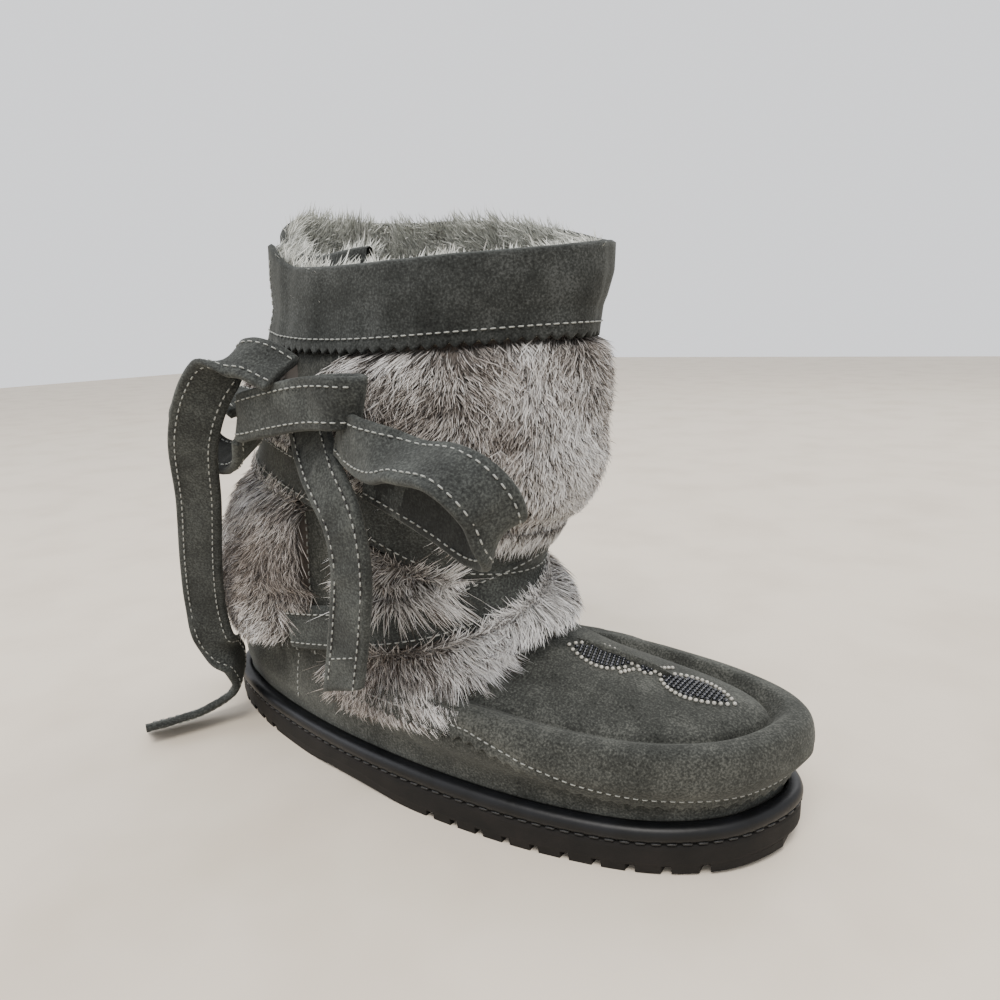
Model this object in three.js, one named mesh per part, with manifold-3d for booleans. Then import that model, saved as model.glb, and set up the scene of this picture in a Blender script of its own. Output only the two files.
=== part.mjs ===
// Mukluk boot, right foot: suede moccasin foot on a rubber sole, rabbit-fur shaft, suede collar
// and a flat suede tie wound round the ankle and tied in a bow on the outer side.
// Millimetres. +X points to the toe, +Y to the inner side of the foot, +Z up, floor at z = 0.
import * as THREE from "three";
import { mergeVertices } from "three/addons/utils/BufferGeometryUtils.js";
import Module from "manifold-3d";

const wasm = await Module();
wasm.setup();

// ---- driving dimensions -------------------------------------------------------------------
const HEEL_X = -137; // rearmost point of the sole
const TOE_X = 138.5; // foremost point of the sole
const SOLE_TOP = 11.3; // height of the outsole's upper face at heel and ball
const TOE_SPRING = 2.6; // lift of the underside at the toe tip
const TOE_RISE = 2.8; // rise of the sole top towards the toe
const SPRING_START = 84; // the toe spring begins here
const ARCH_LIFT = 2.5; // lift of the underside at the waist
const ARCH = { from: -52, to: 16 };
const BALL = { rise: 1.2, from: -70, to: 90 }; // swell of the sole top between heel and ball
const FEATHER_INSET = 5; // the upper's lower edge lies this far inside the sole outline
const WELT_HEIGHT = 5.4;
const GAP = 0.3; // clearance between pieces that meet
const WALL = 3; // suede with its backing
const INSOLE = 3.5;
const INSOLE_CLEAR = 1.5; // more room between the insole and the toe wall
const FUR_PRESSED = 4.8; // depth of the fur under the tie
const TIE_WIDTH = 18;
const TIE_THICKNESS = 3;
const COLLAR_THICKNESS = 3;
const COLUMNS = 36; // divisions around the boot
const TURN = 44; // places are given in 44ths of a turn: 0 is the heel, 11 outside, 22 front

// Plan outline of the sole: y of the outer (lateral) and inner (medial) edge at each station.
const OUTLINE = [
  { x: -122, lateral: -23, medial: 25 },
  { x: -95, lateral: -35.5, medial: 33 },
  { x: -50, lateral: -45.5, medial: 34 },
  { x: -5, lateral: -50.3, medial: 37 },
  { x: 35, lateral: -49.3, medial: 45 },
  { x: 75, lateral: -42.5, medial: 48.5 },
  { x: 108, lateral: -30.5, medial: 42 },
  { x: 129, lateral: -13, medial: 30 },
];
const HEEL_Y = 1;
const TOE_Y = 13;

// Sections of the suede surface from the feather edge to the top of the shaft. Each is a ring.
// heelIn, toeIn: distance inside the sole outline; front: foremost x of the foot's ring;
// heelZ, toeZ: height above the sole top; oval: share of the shaft oval in the ring;
// rear, fore, lateral, medial: extents of that oval.
const SECTIONS = [
  { heelIn: 5, toeIn: 5, front: 132.5, heelZ: 0.3, toeZ: 0.3, oval: 0 },
  { heelIn: 5, toeIn: 5, front: 132.5, heelZ: 6.5, toeZ: 6.5, oval: 0 },
  { heelIn: 4, toeIn: 4.2, front: 134, heelZ: 13, toeZ: 13, oval: 0 },
  { heelIn: 4, toeIn: 0, front: 140.5, heelZ: 20, toeZ: 20, oval: 0 },
  { heelIn: 4.5, toeIn: -1, front: 141.3, heelZ: 26, toeZ: 25.5, oval: 0 },
  { heelIn: 5.5, toeIn: 1.5, front: 139.5, heelZ: 32, toeZ: 31, oval: 0 },
  { heelIn: 7, toeIn: 6.5, front: 134, heelZ: 38, toeZ: 32, oval: 0 },
  { heelIn: 8.5, toeIn: 10.5, front: 129.5, heelZ: 43, toeZ: 30, oval: 0 },
  { heelIn: 10, toeIn: 15, front: 123, heelZ: 48, toeZ: 32, oval: 0 },
  { heelIn: 12, toeIn: 19, front: 112, heelZ: 53, toeZ: 34.5, oval: 0 },
  { heelIn: 14, toeIn: 22, front: 92, heelZ: 58, toeZ: 37.5, oval: 0.05 },
  { heelIn: 16, toeIn: 22, front: 70, heelZ: 63, toeZ: 41.5, oval: 0.15 },
  { heelIn: 18, toeIn: 20, front: 51, heelZ: 68, toeZ: 47, oval: 0.35 },
  { heelIn: 20, toeIn: 20, front: 38, heelZ: 74, toeZ: 57, oval: 0.6 },
  { heelIn: 22, toeIn: 20, front: 32, heelZ: 81, toeZ: 69, oval: 0.85 },
  { heelIn: 22, toeIn: 20, front: 32, heelZ: 92, toeZ: 82, oval: 1 },
  { heelIn: 22, toeIn: 20, front: 32, heelZ: 107, toeZ: 98, oval: 1 },
  { heelIn: 22, toeIn: 20, front: 32, heelZ: 122, toeZ: 115, oval: 1 },
  { heelIn: 22, toeIn: 20, front: 32, heelZ: 139, toeZ: 135, oval: 1 },
  { heelIn: 22, toeIn: 20, front: 32, heelZ: 156, toeZ: 154, oval: 1 },
  { heelIn: 22, toeIn: 20, front: 32, heelZ: 173, toeZ: 171, oval: 1 },
];
// Ovals of the shaft by height; every ring with an oval share takes its oval from here.
const OVALS = [
  { z: 50, rear: -124, fore: 46, lateral: -43, medial: 41 },
  { z: 68, rear: -120, fore: 38, lateral: -43, medial: 41 },
  { z: 85, rear: -115, fore: 32, lateral: -42, medial: 41 },
  { z: 100, rear: -106, fore: 40, lateral: -41, medial: 41 },
  { z: 115, rear: -96, fore: 51, lateral: -41, medial: 42 },
  { z: 130, rear: -87, fore: 58, lateral: -42, medial: 43 },
  { z: 150, rear: -82, fore: 60, lateral: -43, medial: 44 },
  { z: 168, rear: -77, fore: 60, lateral: -42, medial: 44 },
  { z: 185, rear: -71, fore: 63, lateral: -41, medial: 43 },
];
// Behind the vamp the walls pass into the shaft oval between these heights and stations.
const WAIST = { low: 42, high: 60, rear: -20, front: 38 };
const LAST_SECTION = SECTIONS.length - 1;
const CREASE_SECTION = 7; // the seam between the toe roll and the apron

// Height of the tie's centre line round the ankle, by place.
const WRAP = [
  { place: 0, z: 134 },
  { place: 6, z: 130 },
  { place: 11, z: 120 },
  { place: 13.5, z: 110 },
  { place: 16.8, z: 97 },
  { place: 22, z: 92 },
  { place: 27, z: 97 },
  { place: 30.5, z: 110 },
  { place: 34, z: 121 },
  { place: 39, z: 131 },
  { place: 44, z: 134 },
];
// The lower turn of the tie, from the foot of the placket to where it slips under the upper turn.
const LOWER_WRAP = [
  { place: 10.6, z: 61 },
  { place: 14.5, z: 68 },
  { place: 16.4, z: 72 },
  { place: 19, z: 79 },
  { place: 22, z: 87 },
  { place: 25, z: 93 },
];
// Lower edge of the ankle fur seen from the side, on the outer and the inner side of the boot.
const FUR_HEM = [
  { x: -150, lateral: 43, medial: 43 },
  { x: -108, lateral: 42, medial: 43 },
  { x: -80, lateral: 44, medial: 42 },
  { x: -52, lateral: 52, medial: 42 },
  { x: -36, lateral: 50, medial: 42 },
  { x: -14, lateral: 30, medial: 42 },
  { x: 2, lateral: 34, medial: 43 },
  { x: 14, lateral: 41, medial: 45 },
  { x: 31, lateral: 49, medial: 50 },
  { x: 43, lateral: 57, medial: 58 },
  { x: 56, lateral: 65, medial: 66 },
  { x: 66, lateral: 76, medial: 76 },
  { x: 72, lateral: 92, medial: 92 },
];
// How far the fur stands out from the shaft oval at heights, below and above the tie.
const FUR_STAND = [
  { z: 24, rear: 7, fore: 3, lateral: 7, medial: 7 },
  { z: 45, rear: 6, fore: 6, lateral: 9, medial: 9 },
  { z: 66, rear: 13, fore: 16, lateral: 11, medial: 10 },
  { z: 86, rear: 14, fore: 15, lateral: 11, medial: 10 },
  { z: 110, rear: 12, fore: 11, lateral: 11, medial: 11 },
  { z: 140, rear: 10, fore: 11, lateral: 11, medial: 11 },
  { z: 160, rear: 15, fore: 11, lateral: 11, medial: 11 },
  { z: 176, rear: 14, fore: 9, lateral: 9, medial: 9 },
];
// Rim and hem of the collar, by place.
const COLLAR_RIM = [
  { place: 0, z: 223, flare: 2 },
  { place: 5, z: 208, flare: 1 },
  { place: 8, z: 198, flare: 0 },
  { place: 16, z: 198, flare: 1 },
  { place: 22, z: 201, flare: 4 },
  { place: 26, z: 204, flare: 4 },
  { place: 30, z: 212, flare: 2 },
  { place: 34, z: 219, flare: 1 },
  { place: 39, z: 221, flare: 2 },
  { place: 44, z: 223, flare: 2 },
];
const COLLAR_HEM = { heel: 176, lateral: 168, medial: 172, front: 171 };
const COLLAR_START = 10.5; // place of the rear flap's inner end
const COLLAR_END = -39.3; // place of the front flap's free end, one turn further

// ---- small helpers ------------------------------------------------------------------------
const clamp01 = (t) => Math.min(1, Math.max(0, t));
const mix = (a, b, t) => a + (b - a) * t;

function smoothstep(from, to, t) {
  const s = clamp01((t - from) / (to - from));
  return s * s * (3 - 2 * s);
}

function bump(from, to, t) {
  const s = clamp01((t - from) / (to - from));
  return Math.sin(Math.PI * s) ** 2;
}

// Reads one column of a table by linear interpolation along another.
function lookUp(table, key, at, column) {
  if (at <= table[0][key]) return table[0][column];
  for (let i = 1; i < table.length; i += 1) {
    const low = table[i - 1];
    const high = table[i];
    if (at <= high[key]) return mix(low[column], high[column], (at - low[key]) / (high[key] - low[key]));
  }
  return table[table.length - 1][column];
}

// Reads a table smoothly, by a cubic with the neighbours' slopes.
function smoothLookUp(table, key, at, column) {
  const last = table.length - 1;
  const t = Math.min(table[last][key], Math.max(table[0][key], at));
  let i = 0;
  while (i < last - 1 && t > table[i + 1][key]) i += 1;
  const slopeAt = (n) => {
    const low = table[Math.max(0, n - 1)];
    const high = table[Math.min(last, n + 1)];
    return (high[column] - low[column]) / (high[key] - low[key]);
  };
  const span = table[i + 1][key] - table[i][key];
  const s = (t - table[i][key]) / span;
  const rise = (3 * s * s - 2 * s * s * s) * (table[i + 1][column] - table[i][column]);
  const start = (s * s * s - 2 * s * s + s) * span * slopeAt(i);
  const end = (s * s * s - s * s) * span * slopeAt(i + 1);
  return table[i][column] + rise + start + end;
}

// A value given at heel, outer side, front and inner side, for any place round the boot.
function around(places, place) {
  const angle = (2 * Math.PI * place) / TURN;
  const fore = (1 - Math.cos(angle)) / 2;
  const side = Math.sin(angle);
  const sideValue = side > 0 ? places.lateral : places.medial;
  const middle = mix(places.heel, places.front, fore);
  return mix(middle, sideValue, side * side);
}

// ---- sole lines ---------------------------------------------------------------------------
const toeShare = (x) => clamp01((x - SPRING_START) / (TOE_X - SPRING_START)) ** 2;
const undersideZ = (x) => TOE_SPRING * toeShare(x) + ARCH_LIFT * bump(ARCH.from, ARCH.to, x);
const soleTopZ = (x) => SOLE_TOP + BALL.rise * bump(BALL.from, BALL.to, x) + TOE_RISE * toeShare(x);

function makeOutline() {
  const point = (x, y) => new THREE.Vector3(x, y, 0);
  const lateral = OUTLINE.map((row) => point(row.x, row.lateral));
  const medial = OUTLINE.map((row) => point(row.x, row.medial)).reverse();
  const all = [point(HEEL_X, HEEL_Y), ...lateral, point(TOE_X, TOE_Y), ...medial];
  const curve = new THREE.CatmullRomCurve3(all, true, "centripetal");
  return curve.getSpacedPoints(COLUMNS).slice(0, COLUMNS);
}

const outline = makeOutline();
const wrapped = (i) => ((i % COLUMNS) + COLUMNS) % COLUMNS;

const inward = outline.map((point, i) => {
  const along = outline[wrapped(i + 1)].clone().sub(outline[wrapped(i - 1)]).normalize();
  return new THREE.Vector3(-along.y, along.x, 0);
});

// A ring lying on a height line above the plan outline.
function soleRing(inset, heightAt) {
  return outline.map((point, i) => {
    const moved = point.clone().addScaledVector(inward[i], inset);
    moved.z = heightAt(moved.x);
    return moved;
  });
}

// ---- solids from sections -----------------------------------------------------------------
// Joins a row of equal polygons into one closed solid. An open row gets flat end caps, made by
// pairing each polygon's first half with its second half.
function sweep(sections, closed) {
  const count = sections[0].length;
  const index = [];
  const last = closed ? sections.length : sections.length - 1;
  for (let s = 0; s < last; s += 1) {
    const here = s * count;
    const next = ((s + 1) % sections.length) * count;
    for (let j = 0; j < count; j += 1) {
      const k = (j + 1) % count;
      index.push(here + j, next + j, next + k, here + j, next + k, here + k);
    }
  }
  if (!closed) {
    const end = (sections.length - 1) * count;
    for (let j = 0; j < count / 2 - 1; j += 1) {
      const k = count - 1 - j;
      index.push(j, j + 1, k - 1, j, k - 1, k);
      index.push(end + j, end + k - 1, end + j + 1, end + j, end + k, end + k - 1);
    }
  }
  return solidGeometry(sections.flat(), index);
}

// Makes the geometry, turning every face outward.
function solidGeometry(points, index) {
  let volume = 0;
  for (let t = 0; t < index.length; t += 3) {
    const [a, b, c] = [points[index[t]], points[index[t + 1]], points[index[t + 2]]];
    volume += a.dot(b.clone().cross(c));
  }
  if (volume < 0) index.reverse();
  const geometry = new THREE.BufferGeometry().setFromPoints(points);
  geometry.setIndex(index);
  return geometry;
}

function toManifold(geometry) {
  const bare = geometry.clone();
  bare.deleteAttribute("normal");
  bare.deleteAttribute("uv");
  const merged = mergeVertices(bare, 1e-4);
  return new wasm.Manifold(
    new wasm.Mesh({
      numProp: 3,
      vertProperties: new Float32Array(merged.attributes.position.array),
      triVerts: new Uint32Array(merged.index.array),
    }),
  );
}

function fromManifold(solid) {
  const mesh = solid.getMesh();
  const geometry = new THREE.BufferGeometry();
  geometry.setAttribute("position", new THREE.BufferAttribute(new Float32Array(mesh.vertProperties), 3));
  geometry.setIndex(new THREE.BufferAttribute(new Uint32Array(mesh.triVerts), 1));
  return geometry;
}

// ---- the suede surface --------------------------------------------------------------------
function footPoint(i, row) {
  const pivot = -40;
  const fore = smoothstep(-70, 60, outline[i].x);
  const point = outline[i].clone().addScaledVector(inward[i], mix(row.heelIn, row.toeIn, fore));
  const tip = TOE_X - row.toeIn;
  const pull = clamp01((point.x - pivot) / (tip - pivot)) ** 1.3;
  point.x -= (tip - row.front) * pull;
  return point;
}

function ovalPoint(i, z) {
  const angle = (2 * Math.PI * i) / COLUMNS;
  const rear = lookUp(OVALS, "z", z, "rear");
  const fore = lookUp(OVALS, "z", z, "fore");
  const side = Math.sin(angle);
  const width = side > 0 ? -lookUp(OVALS, "z", z, "lateral") : lookUp(OVALS, "z", z, "medial");
  const sharp = Math.cos(angle) < 0 ? 1.18 : 1; // the front of the shaft folds to a blunt edge
  const middle = (rear + fore) / 2;
  const y = -Math.sign(side) * Math.abs(side) ** sharp * width;
  return new THREE.Vector3(middle - ((fore - rear) / 2) * Math.cos(angle), y, 0);
}

function sectionRing(row) {
  return outline.map((_, i) => {
    const foot = footPoint(i, row);
    const share = smoothstep(0.1, 0.9, (foot.x - HEEL_X) / (row.front - HEEL_X));
    const z = mix(row.heelZ, row.toeZ, share) + soleTopZ(foot.x) * (1 - row.oval) + SOLE_TOP * row.oval;
    const sides = smoothstep(WAIST.low, WAIST.high, z) * (1 - smoothstep(WAIST.rear, WAIST.front, foot.x));
    const point = foot.lerp(ovalPoint(i, z), mix(row.oval, 1, sides));
    point.z = z;
    return point;
  });
}

const sectionRings = SECTIONS.map(sectionRing);
const columnCurves = outline.map((_, i) => {
  const points = sectionRings.map((ring) => ring[i]);
  return new THREE.CatmullRomCurve3(points, false, "catmullrom", 0.5);
});

// Point of the suede surface at a place round the boot and a section level.
function surfacePoint(place, level) {
  const t = clamp01(level / LAST_SECTION);
  const column = (place * COLUMNS) / TURN;
  const low = Math.floor(column);
  const a = columnCurves[wrapped(low)].getPoint(t);
  const part = column - low;
  if (part < 1e-6) return a;
  return a.lerp(columnCurves[wrapped(low + 1)].getPoint(t), part);
}

function surfaceNormal(place, level) {
  const up = surfacePoint(place, level + 0.12).sub(surfacePoint(place, level - 0.12));
  const along = surfacePoint(place + 0.5, level).sub(surfacePoint(place - 0.5, level));
  return along.cross(up).normalize();
}

function raised(place, level, offset) {
  return surfacePoint(place, level).addScaledVector(surfaceNormal(place, level), offset);
}

// The section level at which the surface, above the toe roll, reaches a height.
function levelAt(place, z) {
  let low = CREASE_SECTION;
  let high = LAST_SECTION;
  for (let n = 0; n < 30; n += 1) {
    const middle = (low + high) / 2;
    if (surfacePoint(place, middle).z < z) low = middle;
    else high = middle;
  }
  return (low + high) / 2;
}

// A band that hugs the suede surface between two levels and two distances from it.
function hugging(places, bottom, top, steps, inner, outer, closed) {
  const sections = places.map((place) => {
    const low = bottom(place);
    const high = top(place);
    const levels = Array.from({ length: steps + 1 }, (_, s) => mix(low, high, s / steps));
    const outside = levels.map((level, s) => raised(place, level, outer(place, level, s)));
    const inside = levels.map((level) => raised(place, level, inner));
    return [...outside, ...inside.reverse()];
  });
  return sweep(sections, closed);
}

const UPPER_LEVELS = [0, 1, 2, 3, 4, 5, 6, 7, 7.6, 8.5, 10, 11, 12, 13, 14, 16, 18, 20];

const everyPlace = Array.from({ length: COLUMNS }, (_, i) => (i * TURN) / COLUMNS);
const placesBetween = (from, to, count) =>
  Array.from({ length: count + 1 }, (_, n) => mix(from, to, n / count));
const wrapZ = (place) => smoothLookUp(WRAP, "place", place, "z");
const lowerWrapZ = (place) => smoothLookUp(LOWER_WRAP, "place", place, "z");

// ---- fur ----------------------------------------------------------------------------------
// A point at a distance straight out from the shaft oval, at a place and height.
function shaftPoint(place, z, distance) {
  const column = (place * COLUMNS) / TURN;
  const along = ovalPoint(column + 0.05, z).sub(ovalPoint(column - 0.05, z)).normalize();
  const point = ovalPoint(column, z);
  point.x += along.y * distance;
  point.y -= along.x * distance;
  point.z = z;
  return point;
}

// How strongly the tie presses the fur at a height: 1 under the tie, 0 away from it.
function pressedBy(centreZ, z) {
  const away = Math.abs(z - centreZ);
  return 1 - smoothstep(TIE_WIDTH / 2 + 1, TIE_WIDTH / 2 + 10, away);
}

function furDepth(place, z) {
  const stand = (side) => smoothLookUp(FUR_STAND, "z", z, side);
  const stands = {
    heel: stand("rear"),
    front: stand("fore"),
    lateral: stand("lateral"),
    medial: stand("medial"),
  };
  const depth = around(stands, place);
  const lower = LOWER_WRAP[0].place;
  const near = smoothstep(lower - 2, lower, place) * (1 - smoothstep(TURN / 2, TURN / 2 + 4, place));
  const pressed = Math.max(pressedBy(wrapZ(place), z), near * pressedBy(lowerWrapZ(place), z));
  return mix(depth, FUR_PRESSED, pressed);
}

// The fur stands between the suede surface and its own rounded outside.
function furBody(bottomZ, topZ, steps) {
  const rings = Array.from({ length: steps + 1 }, (_, s) =>
    everyPlace.map((place) => {
      const z = mix(bottomZ(place), topZ(place), s / steps);
      return shaftPoint(place, z, furDepth(place, z));
    }),
  );
  return toManifold(sweep(rings, false));
}

// The space taken by the suede surface and a clearance over it.
function suedeCore() {
  const rings = UPPER_LEVELS.map((level) => everyPlace.map((place) => raised(place, level, GAP)));
  return toManifold(sweep(rings, false));
}

// ---- pieces -------------------------------------------------------------------------------
function outsole() {
  const rings = [
    soleRing(1.6, undersideZ),
    soleRing(0.3, (x) => undersideZ(x) + 1.4),
    soleRing(0, (x) => undersideZ(x) + 4),
    soleRing(0.4, (x) => soleTopZ(x) - 1),
    soleRing(1.6, soleTopZ),
  ];
  let body = toManifold(sweep(rings, false));
  for (const cutter of lugGrooves()) body = body.subtract(cutter);
  return fromManifold(body);
}

// Transverse grooves between the tread bars of forefoot and heel; round the toe they run out
// through the side wall.
function lugGrooves() {
  const pitch = 10.5;
  const width = 3;
  const depth = 2.6;
  const rows = [
    ...Array.from({ length: 5 }, (_, n) => ({ x: -120 + pitch * n, out: 2 })),
    ...Array.from({ length: 5 }, (_, n) => ({ x: 24 + pitch * n, out: -7 })),
    ...Array.from({ length: 5 }, (_, n) => ({ x: 76.5 + pitch * n, out: 3 })),
  ];
  return rows.map(({ x, out }) => {
    const lateral = edgeY(x, -1) - out;
    const medial = edgeY(x, 1) + out;
    const box = new THREE.BoxGeometry(width, medial - lateral, depth * 2);
    const slope = Math.atan((undersideZ(x + 1) - undersideZ(x - 1)) / 2);
    box.rotateY(-slope);
    box.translate(x, (lateral + medial) / 2, undersideZ(x));
    return toManifold(box);
  });
}

// y of the sole outline at x on the outer (-1) or inner (1) side.
function edgeY(x, side) {
  let best = 0;
  for (let i = 0; i < COLUMNS; i += 1) {
    const a = outline[i];
    const b = outline[wrapped(i + 1)];
    const crosses = (a.x - x) * (b.x - x) <= 0 && a.x !== b.x;
    if (!crosses) continue;
    const y = mix(a.y, b.y, (x - a.x) / (b.x - a.x));
    if (y * side > best * side) best = y;
  }
  return best;
}

function welt() {
  const profile = [
    { inset: 0.8, rise: GAP },
    { inset: -0.4, rise: WELT_HEIGHT * 0.35 },
    { inset: 0.2, rise: WELT_HEIGHT * 0.8 },
    { inset: 1.8, rise: WELT_HEIGHT },
    { inset: FEATHER_INSET - GAP, rise: WELT_HEIGHT },
    { inset: FEATHER_INSET - GAP, rise: GAP },
  ];
  const rings = profile.map((row) => soleRing(row.inset, (x) => soleTopZ(x) + row.rise));
  return sweep(rings, true);
}

function insole() {
  const inset = FEATHER_INSET + WALL + GAP + INSOLE_CLEAR;
  const low = soleRing(inset, (x) => soleTopZ(x) + GAP);
  const high = soleRing(inset, (x) => soleTopZ(x) + GAP + INSOLE);
  return sweep([low, high], false);
}

function upper() {
  const columns = everyPlace.map((place) => {
    const outside = UPPER_LEVELS.map((level) => surfacePoint(place, level));
    const inside = UPPER_LEVELS.map((level) => raised(place, level, -WALL));
    inside[0].z = outside[0].z;
    inside[inside.length - 1].z = outside[outside.length - 1].z;
    return [...outside, ...inside.reverse()];
  });
  return sweep(columns, true);
}

// The slot down the outer side where the suede placket replaces the fur.
function placketBlank(grow) {
  const middle = { x: -23, z: 115 };
  const corners = [
    { x: -38, z: 182 },
    { x: -7, z: 182 },
    { x: -9, z: 120 },
    { x: -12, z: 52 },
    { x: -36, z: 47 },
    { x: -37, z: 120 },
  ];
  const grown = corners.map(({ x, z }) => ({
    x: x + Math.sign(x - middle.x) * grow,
    z: z + Math.sign(z - middle.z) * grow,
  }));
  return sideways(grown, -90, 90);
}

// A solid seen from the side as a closed outline of {x, z}, reaching from y to y + depth.
function sideways(rows, y, depth) {
  const shape = new THREE.Shape(rows.map((row) => new THREE.Vector2(row.x, row.z)));
  const prism = new THREE.ExtrudeGeometry(shape, { depth, bevelEnabled: false });
  prism.rotateX(Math.PI / 2); // the outline's z becomes the boot's z, its depth runs to -y
  prism.translate(0, y + depth, 0);
  return toManifold(prism);
}

// Everything above the fur's hem.
function aboveHem() {
  const outlineOf = (side) => [
    ...FUR_HEM.map((row) => ({ x: row.x, z: row[side] })),
    { x: 90, z: 200 },
    { x: -150, z: 200 },
  ];
  return sideways(outlineOf("lateral"), -90, 90).add(sideways(outlineOf("medial"), -0.01, 90));
}

function placket() {
  const low = (place) => levelAt(place, 44);
  const high = (place) => levelAt(place, around(COLLAR_HEM, place) - 1);
  const sheet = hugging(placesBetween(4, 16, 14), low, high, 10, GAP, () => GAP + WALL, false);
  return fromManifold(toManifold(sheet).intersect(placketBlank(0)).subtract(suedeCore()));
}

function cutFur(body) {
  return body.subtract(suedeCore()).subtract(placketBlank(GAP)).subtract(straps(GAP * 1.5));
}

function shaftFur() {
  const bottom = (place) => wrapZ(place) + GAP / 2;
  const top = (place) => around(COLLAR_HEM, place) - 1;
  return fromManifold(cutFur(furBody(bottom, top, 6)));
}

function ankleFur() {
  const top = (place) => wrapZ(place) - GAP / 2;
  return fromManifold(cutFur(furBody(() => FUR_STAND[0].z, top, 7).intersect(aboveHem())));
}

// The tie's upper turn is a whole ring; its lower turn starts at the placket and joins it in front.
function straps(grow) {
  const band = (places, line, closed) => {
    const half = TIE_WIDTH / 2 + grow;
    const inner = FUR_PRESSED + GAP - grow;
    const outer = FUR_PRESSED + GAP + TIE_THICKNESS + grow;
    const sections = places.map((place) => {
      const heights = [-half, 0, half].map((side) => line(place) + side);
      const outside = heights.map((z) => shaftPoint(place, z, outer));
      const inside = heights.map((z) => shaftPoint(place, z, inner));
      return [...outside, ...inside.reverse()];
    });
    return toManifold(sweep(sections, closed));
  };
  const start = LOWER_WRAP[0].place - grow * 0.2;
  const span = placesBetween(start, LOWER_WRAP[LOWER_WRAP.length - 1].place, 14);
  return band(everyPlace, wrapZ, true).add(band(span, lowerWrapZ, false));
}

// The collar is one band: it starts inside on the outer side, runs round the heel, the inner
// side and the front, and laps over its own start.
function collar() {
  const sections = placesBetween(COLLAR_START, COLLAR_END, 40).map((place) => {
    const tucked = smoothstep(1, COLLAR_START, place);
    const lapped = smoothstep(-31, COLLAR_END, place) * 2.4;
    const turned = place < 0 ? place + TURN : place;
    const rimZ = mix(smoothLookUp(COLLAR_RIM, "place", turned, "z"), 204, tucked);
    const flare = smoothLookUp(COLLAR_RIM, "place", turned, "flare");
    const hemZ = mix(around(COLLAR_HEM, place), 188, smoothstep(0.5, 3.5, place));
    return collarSection(place, hemZ, rimZ, mix(GAP, -15, tucked) + lapped, flare);
  });
  return fromManifold(toManifold(sweep(sections, false)).subtract(suedeCore()));
}

function collarSection(place, hemZ, rimZ, out, flare) {
  const rows = [
    { share: 0, swell: 1.5 },
    { share: 0.35, swell: 1.2 },
    { share: 0.7, swell: 1 + flare * 0.7 },
    { share: 1, swell: flare },
  ];
  const at = (row, distance) => shaftPoint(place, mix(hemZ, rimZ, row.share), distance + row.swell);
  const outside = rows.map((row) => at(row, out + COLLAR_THICKNESS));
  const inside = rows.map((row) => at(row, out));
  return [...outside, ...inside.reverse()];
}

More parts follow.
